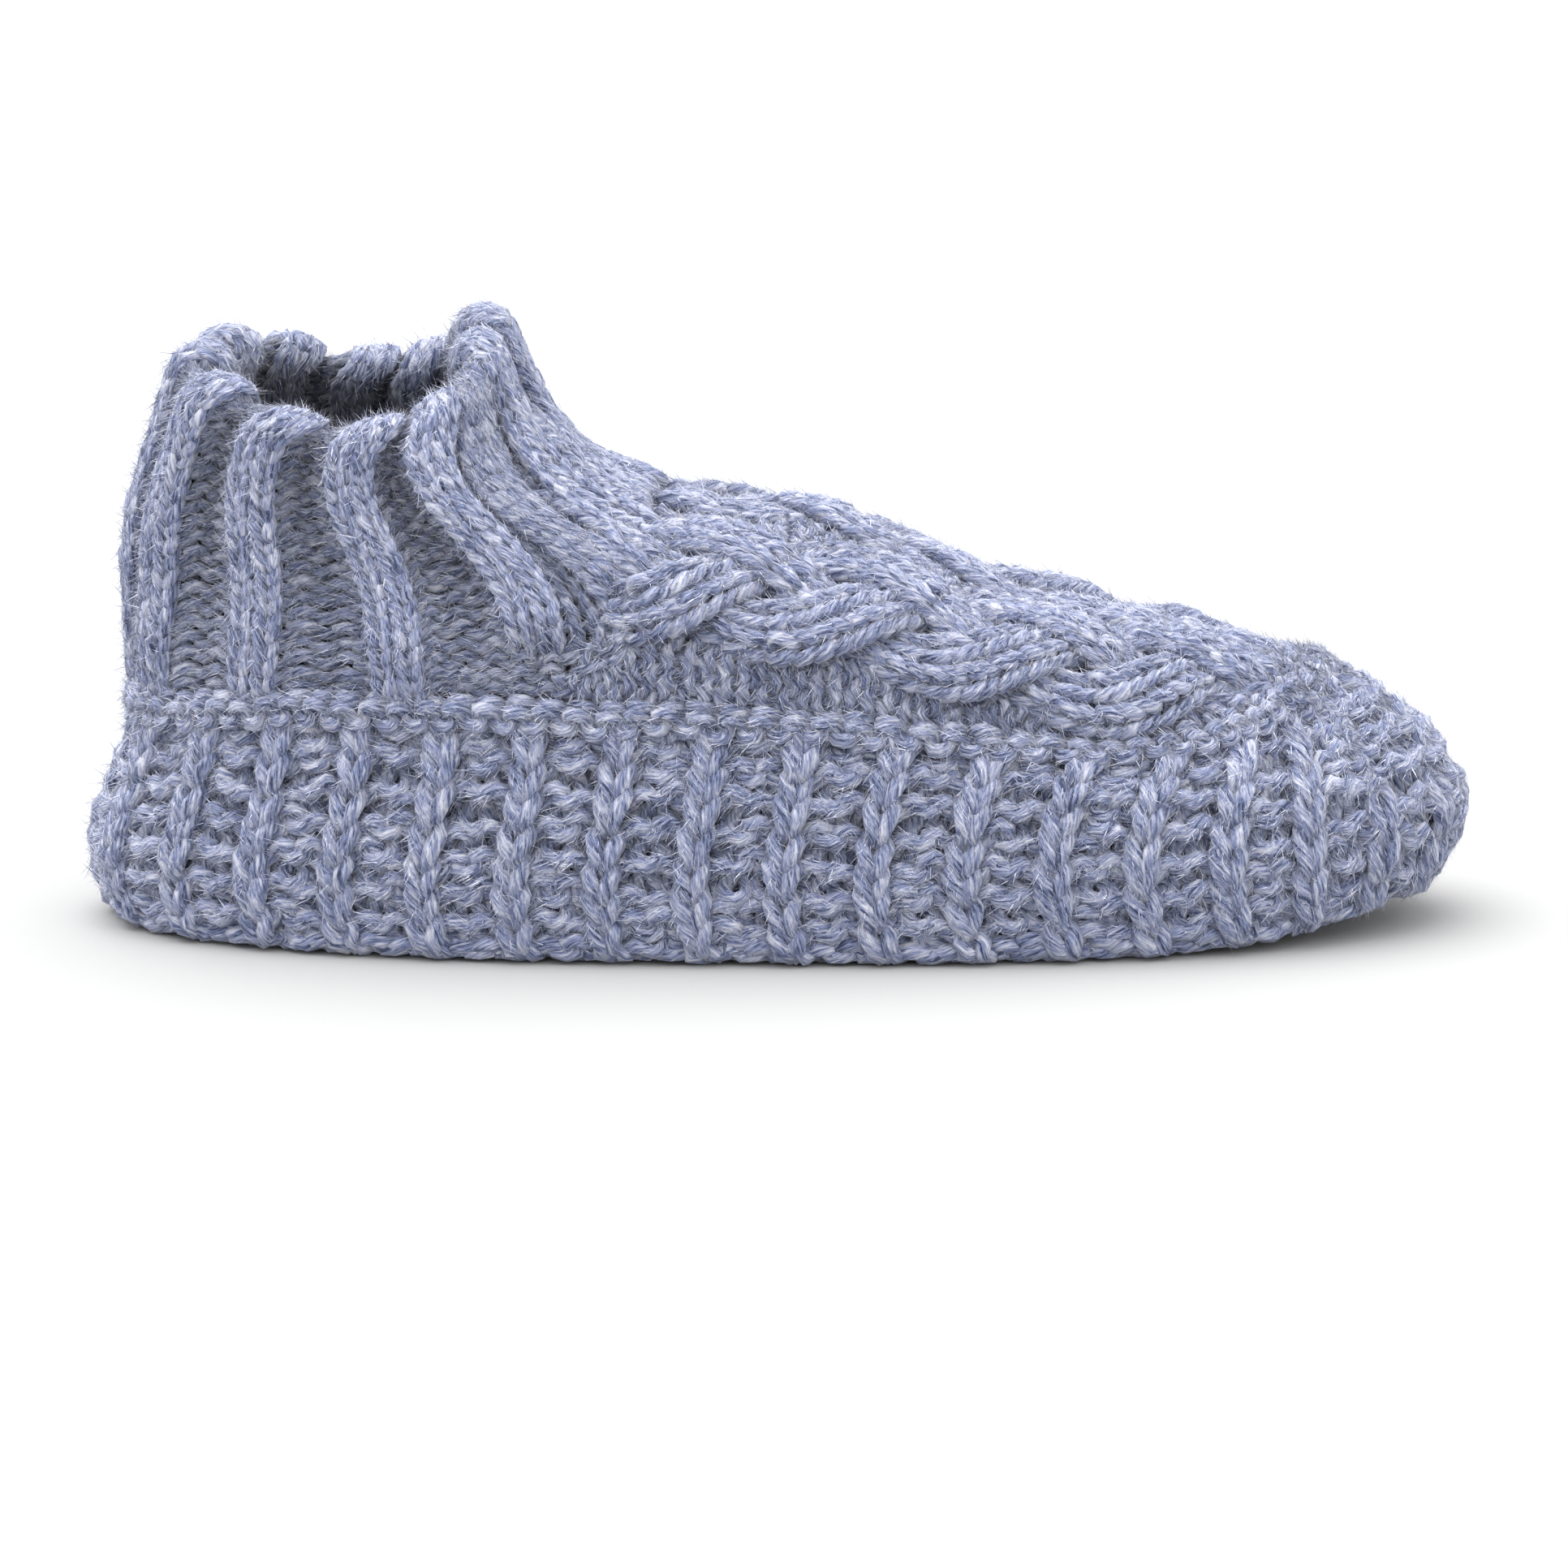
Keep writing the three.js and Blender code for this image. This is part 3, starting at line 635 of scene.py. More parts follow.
def yarn_tree():
    """Node tree that turns lines of points into yarn: a round tube that knows its place along and round."""
    inputs = {"Yarn Radius": "Float", "Sides": "Int", "Material": "Material"}
    tree, given, ids = new_tree("yarn", "Lines", "Yarn", inputs)
    curves = step(tree, "GeometryNodeMeshToCurve", {"Mesh": given["Lines"]}).outputs["Curve"]
    length = step(tree, "GeometryNodeSplineParameter").outputs["Length"]
    curves, along = captured(tree, curves, "FLOAT", length)
    tangent = step(tree, "GeometryNodeInputTangent").outputs["Tangent"]
    curves, way = captured(tree, curves, "VECTOR", tangent)
    sizes = {"Resolution": given["Sides"], "Radius": given["Yarn Radius"]}
    circle = step(tree, "GeometryNodeCurvePrimitiveCircle", sizes).outputs["Curve"]
    position = step(tree, "GeometryNodeInputPosition").outputs["Position"]
    circle, around = captured(tree, circle, "VECTOR", position)
    tube = step(tree, "GeometryNodeCurveToMesh", {
        "Curve": curves, "Profile Curve": circle, "Scale": carried(tree, "thickness"), "Fill Caps": True,
    }).outputs["Mesh"]
    parts = step(tree, "ShaderNodeSeparateXYZ", {0: around}).outputs
    place = step(tree, "ShaderNodeCombineXYZ", {"X": parts["X"], "Y": parts["Y"], "Z": along})
    shift = step(tree, "ShaderNodeCombineXYZ", {"Z": carried(tree, "start")})
    total = step(tree, "ShaderNodeVectorMath", {0: place.outputs[0], 1: shift.outputs[0]}, operation="ADD")
    tube = stored(tree, tube, "yarn_place", total.outputs[0])
    tube = stored(tree, tube, "yarn_way", way)
    soft = step(tree, "GeometryNodeSetShadeSmooth", {"Geometry": tube})
    end_tree(tree, soft.outputs["Geometry"], given["Material"])
    return tree, ids


def lines_object(name, yarn):
    """Mesh of edges alone that holds a yarn's lines, in metres, with what they carry."""
    points = []
    edges = []
    dresses = []
    starts = []
    base = 0
    for number, (run, dress, closed) in enumerate(yarn.runs):
        count = len(run)
        points.append(run * MM)
        dresses.append(dress)
        starts.append(np.full(count, number * MARL_SHIFT))
        ids = np.arange(base, base + count)
        edges.append(np.stack([ids[:-1], ids[1:]], 1))
        if closed:
            edges.append(np.array([[base + count - 1, base]]))
        base += count
    mesh = bpy.data.meshes.new(name)
    mesh.from_pydata(np.concatenate(points).tolist(), np.concatenate(edges).tolist(), [])
    dress = np.concatenate(dresses)
    carries = {"thickness": dress[:, 0], "shade": dress[:, 4], "start": np.concatenate(starts)}
    for attribute, values in carries.items():
        layer = mesh.attributes.new(attribute, "FLOAT", "POINT")
        layer.data.foreach_set("value", values.astype(np.float32))
    layer = mesh.attributes.new("facing", "FLOAT_VECTOR", "POINT")
    layer.data.foreach_set("vector", dress[:, 1:4].astype(np.float32).ravel())
    made = bpy.data.objects.new(name, mesh)
    bpy.context.scene.collection.objects.link(made)
    return made


def realized(made, tree, inputs):
    """The object with the tree's result as its plain mesh."""
    modifier = made.modifiers.new("shape", "NODES")
    modifier.node_group = tree
    for identifier, value in inputs.items():
        modifier[identifier] = value
    bpy.context.view_layer.update()
    graph = bpy.context.evaluated_depsgraph_get()
    mesh = bpy.data.meshes.new_from_object(made.evaluated_get(graph))
    made.modifiers.remove(modifier)
    made.data = mesh
    mesh.name = made.name
    return made


def knit_piece(name, yarn, radius, material):
    """A piece of yarn, made by the node tree."""
    tree, ids = yarn_tree()
    made = lines_object(name, yarn)
    inputs = {ids["Yarn Radius"]: radius, ids["Sides"]: YARN_SIDES, ids["Material"]: material}
    return realized(made, tree, inputs)


def finished(piece, slot, *replaced):
    """The piece rides on the slipper's one body, and the parts it replaces are hidden. The slot is not
    used.
    """
    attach(piece, "root")
    if replaced:
        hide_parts(*replaced)
    return piece


def closed_ring(name, rows, material):
    """A closed mesh from rows of points round the foot, each row a ring, the last joined to the first."""
    columns = len(rows[0])
    faces = []
    for r in range(len(rows)):
        here = r * columns
        above = (r + 1) % len(rows) * columns
        for c in range(columns):
            near = (c + 1) % columns
            faces.append((here + c, here + near, above + near, above + c))
    return mesh_object(name, np.concatenate(rows) * MM, faces, material)


def mesh_object(name, points, faces, material):
    mesh = bpy.data.meshes.new(name)
    mesh.from_pydata([list(p) for p in points], [], faces)
    mesh.materials.append(material)
    mesh.polygons.foreach_set("use_smooth", [True] * len(faces))
    mesh.update()
    made = bpy.data.objects.new(name, mesh)
    bpy.context.scene.collection.objects.link(made)
    point_outwards(made)
    return made


def point_outwards(made):
    """Turns all faces outwards."""
    work = bmesh.new()
    work.from_mesh(made.data)
    bmesh.ops.recalc_face_normals(work, faces=work.faces)
    work.to_mesh(made.data)
    work.free()


def marl_material(name, sizes, fineness=1.0):
    """Marled yarn: fibres that run along it with a slight twist, from slate blue to near white."""
    material, tree = new_material(name)
    place = step(tree, "ShaderNodeAttribute", attribute_name="yarn_place").outputs["Vector"]
    parts = step(tree, "ShaderNodeSeparateXYZ", {0: place})
    twist = step(tree, "ShaderNodeMath", {0: parts.outputs["Z"], 1: TWIST}, operation="MULTIPLY")
    turned = step(tree, "ShaderNodeVectorRotate", {"Vector": place, "Angle": twist.outputs[0]},
                  rotation_type="Z_AXIS")

    def streaks(across, along, detail, roughness):
        stretch = step(tree, "ShaderNodeMapping", {"Scale": (across, across, along)})
        tree.links.new(turned.outputs[0], stretch.inputs["Vector"])
        pattern = {"Vector": stretch.outputs[0], "Scale": 1.0, "Detail": detail, "Roughness": roughness}
        return step(tree, "ShaderNodeTexNoise", pattern).outputs["Fac"]

    fine = streaks(2300.0 * fineness, 330.0, 3.0, 0.62)
    slow = streaks(650.0, 110.0, 2.0, 0.5)
    mixed = step(tree, "ShaderNodeMix", {"Factor": 0.36, 2: fine, 3: slow}, data_type="FLOAT")
    blend = [0.55 * m + 0.45 * p for m, p in zip(sizes.middle, sizes.pale)]
    tones = ((0.38, sizes.dark), (0.47, sizes.middle), (0.555, blend), (0.64, sizes.pale))
    # Painted shade: the marl is darkened where the yarn dives and in the grooves.
    colour = with_painted_shade(tree, ramp(tree, mixed.outputs[0], tones))
    bump = step(tree, "ShaderNodeBump", {"Strength": 0.75, "Distance": 0.0005, "Height": fine})
    finish = {"Roughness": 0.88, "Specular IOR Level": 0.22, "Sheen Weight": 0.35,
              "Sheen Roughness": 0.45, "Sheen Tint": (0.82, 0.85, 0.95, 1)}
    end_material(tree, colour, bump, finish)
    return material


def new_material(name):
    material = bpy.data.materials.new(name)
    material.use_nodes = True
    material.node_tree.nodes.clear()
    return material, material.node_tree


def ramp(tree, amount, tones):
    """Colours that run into each other by amount, each at its own place."""
    made = step(tree, "ShaderNodeValToRGB", {"Fac": amount})
    stops = made.color_ramp.elements
    while len(stops) < len(tones):
        stops.new(0.5)
    for stop, (place, _) in zip(stops, tones):
        stop.position = place
    for stop, (_, colour) in zip(stops, tones):
        stop.color = (*colour, 1)
    return made.outputs["Color"]


def end_material(tree, colour, bump, finish):
    """The shader and the end of a material."""
    surface = {"Base Color": colour, "Normal": bump.outputs["Normal"], **finish}
    shader = step(tree, "ShaderNodeBsdfPrincipled", surface)
    step(tree, "ShaderNodeOutputMaterial", {"Surface": shader.outputs[0]})


def with_painted_shade(tree, colour):
    """The colour darkened by the painted shade that the piece carries, strongest where the yarn lies deep
    between its neighbours.
    """
    sunk = step(tree, "ShaderNodeAttribute", attribute_name="shade").outputs["Fac"]
    light = {0: sunk, 1: -0.9, 2: 1.06}
    amount = step(tree, "ShaderNodeMath", light, operation="MULTIPLY_ADD", use_clamp=True)
    scale = {0: colour, "Scale": amount.outputs[0]}
    return step(tree, "ShaderNodeVectorMath", scale, operation="SCALE").outputs[0]


def cloth_material(name, low, high, scale, bump_depth=0.0006, takes_painted_shade=False):
    """Close cloth or fibres in two tones. When asked, it takes the same painted shade as the yarn."""
    material, tree = new_material(name)
    place = step(tree, "ShaderNodeTexCoord").outputs["Object"]
    pattern = {"Vector": place, "Scale": scale, "Detail": 4.0, "Roughness": 0.6}
    noise = step(tree, "ShaderNodeTexNoise", pattern).outputs["Fac"]
    colour = ramp(tree, noise, ((0.36, low), (0.64, high)))
    bump = step(tree, "ShaderNodeBump", {"Strength": 0.6, "Distance": bump_depth, "Height": noise})
    finish = {"Roughness": 0.95, "Specular IOR Level": 0.15, "Sheen Weight": 0.3}
    end_material(tree, with_painted_shade(tree, colour) if takes_painted_shade else colour, bump, finish)
    return material


def material_for(kind, sizes):
    """The slipper's materials, made once each."""
    found = bpy.data.materials.get(kind)
    if found:
        return found
    if kind == "band yarn":
        return marl_material(kind, sizes, 0.9)
    if kind == "upper yarn":
        return marl_material(kind, sizes, 1.0)
    if kind == "loose fibre":
        # The loose fibres take the painted shade of the yarn they grow on.
        return cloth_material(kind, (0.13, 0.158, 0.272), (0.64, 0.65, 0.725), 900.0, 0.0, takes_painted_shade=True)
    if kind == "footbed cloth":
        return cloth_material(kind, (0.15, 0.17, 0.25), (0.28, 0.31, 0.41), 700.0)
    # The lining runs from the marl's dark to a dimmed middle: partly the yarn's own dark tone, partly
    # painted shade in the gaps between the stitches.
    return cloth_material(kind, sizes.dark, [0.8 * c for c in sizes.middle], 500.0)


def on_toe(wale, row):
    """1 on top of the toe, where the band's ribs die out, and 0 on its sides."""
    return smooth(0.8, 0.92, 1 - np.abs(wale / BAND_HALF - 1)) * smooth(2.5, 4.5, row)


def band_knit(wale, row):
    """1 in the foot band's knit wales, one in three, and -1 in its purl wales."""
    away = np.abs(np.mod(wale + 1.5, 3) - 1.5)
    return 1 - 2 * np.maximum(smooth(0.42, 0.62, away), on_toe(wale, row))


def band_out(wale, row):
    """Height of the band's yarn off its mean surface: ribs stand up and purl wales sink."""
    away = np.abs(np.mod(wale + 1.5, 3) - 1.5)
    crest = (1 - smooth(0.2, 0.9, away)) * (1 - on_toe(wale, row))
    beside = np.exp(-(((away - 0.72) / 0.22) ** 2)) * (1 - 0.6 * on_toe(wale, row))
    return -1.5 + (0.9 * crest - 0.9 * beside) * smooth(0, 1.5, row)


def all_purl(wale, row):
    return np.full(wale.shape, -1.0)


def clear_of_floor(points, radius):
    """Keeps the yarn's underside on the floor."""
    low = 1.15 * radius / MM + 0.05 + floor_lift(points[:, 0])
    points[:, 2] = np.maximum(points[:, 2], low)
    return points


def build_band(sizes):
    cloth = band_cloth()
    rng = np.random.default_rng(sizes.seed)
    look = {"steps": 12, "loop": 1.65, "purl_loop": 1.3, "lean": 0.27, "depth": 0.95, "uneven": 0.2,
            "out": band_out, "knit": band_knit, "shift": 0.5, "level": -1.4}
    yarn = Yarn()
    for row in range(BAND_ROWS + 1):
        at = min(max(row + 0.15, 0.3), BAND_ROWS - 0.2)
        points, dress, _ = stitches(cloth, at, 0, BAND_WALES, look, rng, closed=True)
        # Painted light from the floor: less painted shade on the rows near the sole.
        dress[:, 4] *= 0.45 + 0.55 * smooth(0, 6, row)
        yarn.lay(clear_of_floor(points, sizes.band_yarn), dress, True)
    piece = knit_piece("foot_band_knit", yarn, sizes.band_yarn, material_for("band yarn", sizes))
    finished(piece, "band_knit")
    wales = np.arange(0, BAND_WALES, 0.5)
    # The lining's rings: the row and the way off the mean surface, outside going up and inside down
    front = [(0, -2.6), (0.6, -2.6), (2, -2.8), (4, -2.8), (6, -2.8), (8, -2.8)]
    back = [(row, -4.0) for row, _ in reversed(front)]
    rows = []
    for row, out in front + back:
        ring = cloth.at(np.full(len(wales), float(row)), wales, np.full(len(wales), out))
        ring[:, 2] = np.maximum(ring[:, 2], LINING_LIFT + floor_lift(ring[:, 0]))
        rows.append(ring)
    lining = closed_ring("foot_band_lining", rows, material_for("lining", sizes))
    finished(lining, "band_knit", "foot_band")


def folded_wale(wale):
    """The same wale on the half from the heel to the front."""
    wale = np.mod(wale, 2 * SHAFT_HALF)
    return np.minimum(wale, 2 * SHAFT_HALF - wale)


def rib_share(folded, row, near, far):
    """1 along the shaft's ribs and 0 between them. The slanting rib ends in a point above the seam."""
    share = np.zeros_like(folded)
    for middle in RIB_MIDDLES:
        whole = smooth(*SLANT_ROWS, row) if middle == SLANT_RIB else 1.0
        share = np.maximum(share, whole * (1 - smooth(near, far, np.abs(folded - middle))))
    return share


def shaft_knit(wale, row):
    """1 in the shaft's ribs and plain front, and -1 in the purl wales between the ribs."""
    folded = folded_wale(wale)
    plain = smooth(PLAIN_WALE - 0.1, PLAIN_WALE + 0.1, folded) * smooth(*SLANT_ROWS, row)
    return 2 * np.maximum(rib_share(folded, row, 0.9, 1.1), plain) - 1


def shaft_out(wale, row):
    """Height of the shaft's yarn: ribs, sunk purl that is deepest near the rim, a fold and a valley."""
    folded = folded_wale(wale)
    below = smooth(-16, -12, row)
    crest = rib_share(folded, row, 0.45, 1.75)
    front = smooth(FRONT_WALE, FRONT_WALE + 0.8, folded) * (1 - smooth(-6, -1, row))
    crest = np.maximum(crest, front)
    plain = smooth(PLAIN_WALE - 0.5, PLAIN_WALE + 1, folded)
    plain = plain * (1 - smooth(FRONT_WALE - 1.5, FRONT_WALE, folded))
    groove = np.interp(row, [-24, -17, -9, -3, 0, 4, 8], [1.7, 2.1, 3.5, 4.2, 3.4, 1.6, 1.0])
    fold = FRONT_WALE + np.interp(row, [-16, -13, -9, -3, 0], [-2.6, -2.2, -0.8, -0.1, 0.0])
    crevice = np.exp(-(((folded - fold) / 0.42) ** 2)) * smooth(-18, -14, row) * (1 - smooth(-3, 1, row))
    slant = (1 - smooth(0.5, 1.4, np.abs(folded - SLANT_RIB))) * below
    valley = np.exp(-(((folded - SLANT_RIB - 1.6) / 0.5) ** 2)) * below * (1 - smooth(-1, 2, row))
    ribs = 0.3 * crest + 0.7 * slant - groove * (1 - crest) * (1 - 0.72 * plain)
    return ribs - 3.5 * crevice - 1.7 * valley - 0.2


def shaft_edge(points):
    """True where the shaft is: behind the line where the vamp begins."""
    line = np.minimum(EDGE_START + EDGE_LEAN * (points[:, 2] - EDGE_SEAM), EDGE_TOP)
    return points[:, 0] < line


def build_shaft(sizes):
    row_height = sizes.row_height / MM
    cloth, turn_rows = shaft_cloth(row_height)
    seam = half_seam_heights()
    rng = np.random.default_rng(sizes.seed + 1)
    look = {"steps": 10, "loop": 2.0, "purl_loop": 1.5, "lean": 0.2, "depth": 0.75, "uneven": 0.1,
            "out": shaft_out, "knit": shaft_knit, "level": -0.3}
    outside = Yarn()
    inside = Yarn()
    for row in np.arange(-SHAFT_ROWS, turn_rows + INSIDE_ROWS, 1.0):
        points, dress, wale = stitches(cloth, row, 0, 2 * SHAFT_HALF, look, rng, closed=True)
        if row > 0.5:
            # Painted shade inside the collar: the rows past the turn grow darker and darker.
            dress[:, 4] = np.clip(dress[:, 4] + 1.1 * smooth(turn_rows - 2.5, turn_rows + 2.5, row), 0, 1)
            inside.lay(points, dress, True)
            continue
        bare = cloth.at(np.full(len(wale), row), wale, np.zeros(len(wale)))
        above_seam = bare[:, 2] > seam(bare[:, 0]) - 0.8
        kept = above_seam & shaft_edge(bare)
        if kept.all():
            outside.lay(points, dress, True)
        else:
            turn = len(kept) // 2
            outside.lay_kept(np.roll(points, turn, 0), np.roll(dress, turn, 0), np.roll(kept, turn))
    material = material_for("upper yarn", sizes)
    finished(knit_piece("shaft_knit", outside, sizes.upper_yarn, material), "upper_knit")
    finished(knit_piece("collar_inside_knit", inside, sizes.upper_yarn, material), "upper_knit")


def half_seam_heights():
    """Height of the linking seam by its place along the foot."""
    points, _ = half_outlines(np.array([float(SEAM_LEVEL)]))
    x = points[0, :, 0]
    z = points[0, :, 2]
    return lambda at: np.interp(at, x, z)


def build_vamp(sizes):
    row_height = sizes.row_height / MM
    wale_width = sizes.wale_width / MM
    cloth = vamp_cloth(row_height, wale_width)
    rng = np.random.default_rng(sizes.seed + 2)
    middle = plait_middle(cloth)
    reach = sizes.plait_swing / MM + 4.0
    ground = {"steps": 10, "loop": 2.0, "purl_loop": 1.9, "lean": 0.2, "depth": 0.75, "uneven": 0.12,
              "out": lambda wale, row: np.full(wale.shape, -1.6), "knit": all_purl, "level": -0.6}
    yarn = Yarn()
    rows = np.arange(math.ceil(cloth.rows[0]), math.floor(cloth.rows[-1]))
    for row in rows:
        depth = np.interp(row, cloth.rows, cloth.depth)
        x = np.interp(row, cloth.rows, cloth.places)
        half = depth / wale_width
        points, dress, wale = stitches(cloth, float(row), -VAMP_WALES, VAMP_WALES, ground, rng)
        bare = cloth.at(np.full(len(wale), float(row)), wale, np.zeros(len(wale)))
        kept = (np.abs(wale) < half + 0.6) & ~shaft_edge(bare + np.array([VAMP_GAP, 0, 0]))
        if PLAIT_BACK < x < PLAIT_FRONT:
            kept &= np.abs(np.abs(wale) * wale_width - middle(row)) > reach - 3
            kept &= np.abs(wale) * wale_width > ROPE_SWING
        yarn.lay_kept(points, dress, kept)
    material = material_for("upper yarn", sizes)
    finished(knit_piece("vamp_knit", yarn, sizes.upper_yarn, material), "upper_knit")
    swing = sizes.plait_swing / MM
    period = sizes.plait_period / MM
    start = sizes.plait_start / MM
    for name, side, line, weave in (
        ("near_plait", 1, middle, (3, swing, period, start)),
        ("far_plait", -1, middle, (3, swing, period, start)),
        ("top_rope", 1, lambda row: 0.0, (2, ROPE_SWING, ROPE_PERIOD, ROPE_START)),
    ):
        plait = Yarn()
        for strand in range(weave[0]):
            lay_strand(plait, cloth, sizes, side, line, strand, weave, rng)
        finished(knit_piece(name, plait, sizes.upper_yarn, material), "upper_knit")


def plait_middle(cloth):
    """Distance of a plait's middle from the vamp's top line, by row."""
    share = np.interp(cloth.places, [-40, 0, 40, 84], [0.52, 0.54, 0.56, 0.6])
    return lambda row: np.interp(row, cloth.rows, cloth.depth * share)


def lay_strand(yarn, cloth, sizes, side, middle, strand, weave, rng):
    """One strand of a plait or rope: two wales of knit stitches that swing across it, over and under."""
    strands, swing, period, start = weave
    row_height = sizes.row_height / MM
    wale_width = sizes.wale_width / MM
    strand_wale = sizes.strand_wale / MM
    rise = sizes.plait_rise / MM
    first = np.interp(-PLAIT_FRONT, -cloth.places, cloth.rows)
    last = np.interp(-PLAIT_BACK, -cloth.places, cloth.rows)
    u = -1 + np.arange(2 * STRAND_STEPS + 1) / STRAND_STEPS
    phase = 2 * np.pi * u
    front = -np.cos(2 * phase)
    row = first
    while row < last:
        x = np.interp(row, cloth.rows, cloth.places)
        # Where the strand lies here, how far it leans, and how high it goes over the others
        turn = 2 * math.pi * ((x - start) / period + strand / strands)
        taper = float(smooth(PLAIT_FRONT, PLAIT_FRONT - PLAIT_TAPER, x)) * 0.45 + 0.55
        offset = -swing * taper * math.sin(turn)
        tilt = math.atan(-swing * taper * math.cos(turn) * 2 * math.pi / period)
        over = 0.5 - 0.5 * math.sin(2 * turn) if strands == 3 else 0.5 - 0.5 * math.cos(turn)
        # One row of two stitches across the strand, turned to its lean
        tall = 2.1 * (1 + rng.normal(0, 0.08))
        across = (u + 0.21 * np.sin(2 * phase)) * strand_wale
        along = -0.5 * tall * np.cos(phase) * row_height + rng.normal(0, 0.35)
        away = across * math.cos(tilt) - along * math.sin(tilt)
        back = along * math.cos(tilt) + across * math.sin(tilt)
        distance = middle(row) + offset + away
        at_row = row + back / row_height
        sink = 2.2 * float(smooth(PLAIT_FRONT - PLAIT_TAPER, PLAIT_FRONT, x))
        sink += 1.6 * float(smooth(PLAIT_BACK + PLAIT_DIP, PLAIT_BACK, x))
        sink += ROPE_SINK if strands == 2 else 0.0
        out = 1.3 * (1 - (u * 0.92) ** 2) - 2.4 - sink + rise * over * 1.2
        out += 0.75 * front + rng.normal(0, 0.25)
        points = cloth.at(at_row, side * distance / wale_width, out)
        above = cloth.at(at_row, side * distance / wale_width, out + 1)
        thickness = 1.04 + rng.normal(0, 0.08) + 0.07 * (1 + np.cos(2 * phase + np.pi))
        # Painted shade: darker where the strand dives, where it passes under the other strands, and toward
        # its edges.
        shade = 0.26 * (1 - front) + 0.45 * (1 - over) * u**2 + 0.2 * u**4
        yarn.lay(points, dressed(points, above, thickness, shade), False)
        row += math.cos(tilt)


def build_seam(sizes):
    """The linking seam: two courses of raised loops along the top edge of the foot band."""
    levels = np.linspace(SEAM_LEVEL - 0.5, SEAM_LEVEL + 0.5, 11)
    wales = np.arange(-1, BAND_WALES + 1.01, 0.25)
    grid = ring_points(levels, wales, BAND_HALF, band_place)
    run = run_up(grid)
    run -= run[len(levels) // 2]
    rows = np.arange(-1.6, 1.61, 0.2)
    targets = np.clip(rows[:, None] * SEAM_ROW, run[0], run[-1])
    normals = relaid(grid_normals(grid), run, targets)
    cloth = Cloth(rows, wales, relaid(grid, run, targets), normals, BAND_WALES)
    rng = np.random.default_rng(sizes.seed + 3)
    on_top = np.full(1, float(BAND_ROWS))
    yarn = Yarn()
    for row, out, depth, loop, shift in ((-0.1, 1.3, 0.2, 1.4, 0.25), (0.5, 0.2, 0.45, 1.4, 0.6)):
        look = {"steps": 12, "loop": loop, "purl_loop": loop, "lean": 0.1, "depth": depth, "uneven": 0.22,
                "out": lambda wale, row, out=out: out - 2.2 * on_toe(wale, on_top),
                "knit": all_purl, "shift": shift, "level": 0.6}
        points, dress, _ = stitches(cloth, row, 0, BAND_WALES, look, rng, closed=True)
        yarn.lay(points, dress, True)
    radius = 0.92 * sizes.band_yarn
    piece = knit_piece("linking_seam_chain", yarn, radius, material_for("upper yarn", sizes))
    finished(piece, "seam_knit", "linking_seam")


def build_upper_lining(sizes):
    """Close layer behind the upper's yarn, which fills its wall."""
    fine = 10  # rows of the grid to a level
    levels = np.linspace(SEAM_LEVEL, RIM_LEVEL, (RIM_LEVEL - SEAM_LEVEL) * fine + 1)
    wales = np.arange(0, 2 * SHAFT_HALF, 0.25)
    grid = ring_points(levels, wales, SHAFT_HALF, shaft_place)
    ringed = np.concatenate([grid[:, -2:], grid, grid[:, :2]], 1)
    normals = grid_normals(ringed)[:, 2:-2]
    chosen = [int(round(ring * fine)) for ring in LINING_RINGS]
    front, back = ([grid[i] + normals[i] * out for i in chosen] for out in LINING_OUT)
    lining = closed_ring("upper_lining", front + back[::-1], material_for("lining", sizes))
    finished(lining, "upper_knit", "upper")


def sole_half_width(x):
    """Half width of the sole's edge at x."""
    points, _ = half_outlines(np.array([0.0]))
    return np.interp(x, points[0, :, 0], points[0, :, 1], left=0, right=0)


def panel(name, inset, low, high, edge, material):
    """A flat panel with the sole's outline, its edges rounded, that lifts with the toe."""
    points, _ = half_outlines(np.array([0.0]))
    half = points[0, ::4, :2]
    loop = np.concatenate([half, half[-2:0:-1] * np.array([1, -1])])
    tangent = unit(np.roll(loop, -1, 0) - np.roll(loop, 1, 0))
    inward = np.stack([tangent[:, 1], -tangent[:, 0]], 1)
    count = len(loop)
    wide = inset + edge
    rings = []
    for inward_by, height in ((wide, low), (inset, low + edge), (inset, high - edge), (wide, high)):
        flat = loop + inward * inward_by
        rings.append(np.column_stack([flat, height + floor_lift(flat[:, 0])]))
    faces = []
    for base in range(0, 3 * count, count):
        for c in range(count):
            near = (c + 1) % count
            faces.append((base + c, base + near, base + count + near, base + count + c))
    for base in (0, 3 * count):
        for c in range(count // 2):
            near, far, next_far = c + 1, (count - c) % count, count - c - 1
            corners = [c, near, next_far, far] if c else [c, near, next_far]
            if near == next_far:
                corners = [c, near, far]
            faces.append(tuple(base + k for k in corners))
    return mesh_object(name, np.concatenate(rings) * MM, faces, material)


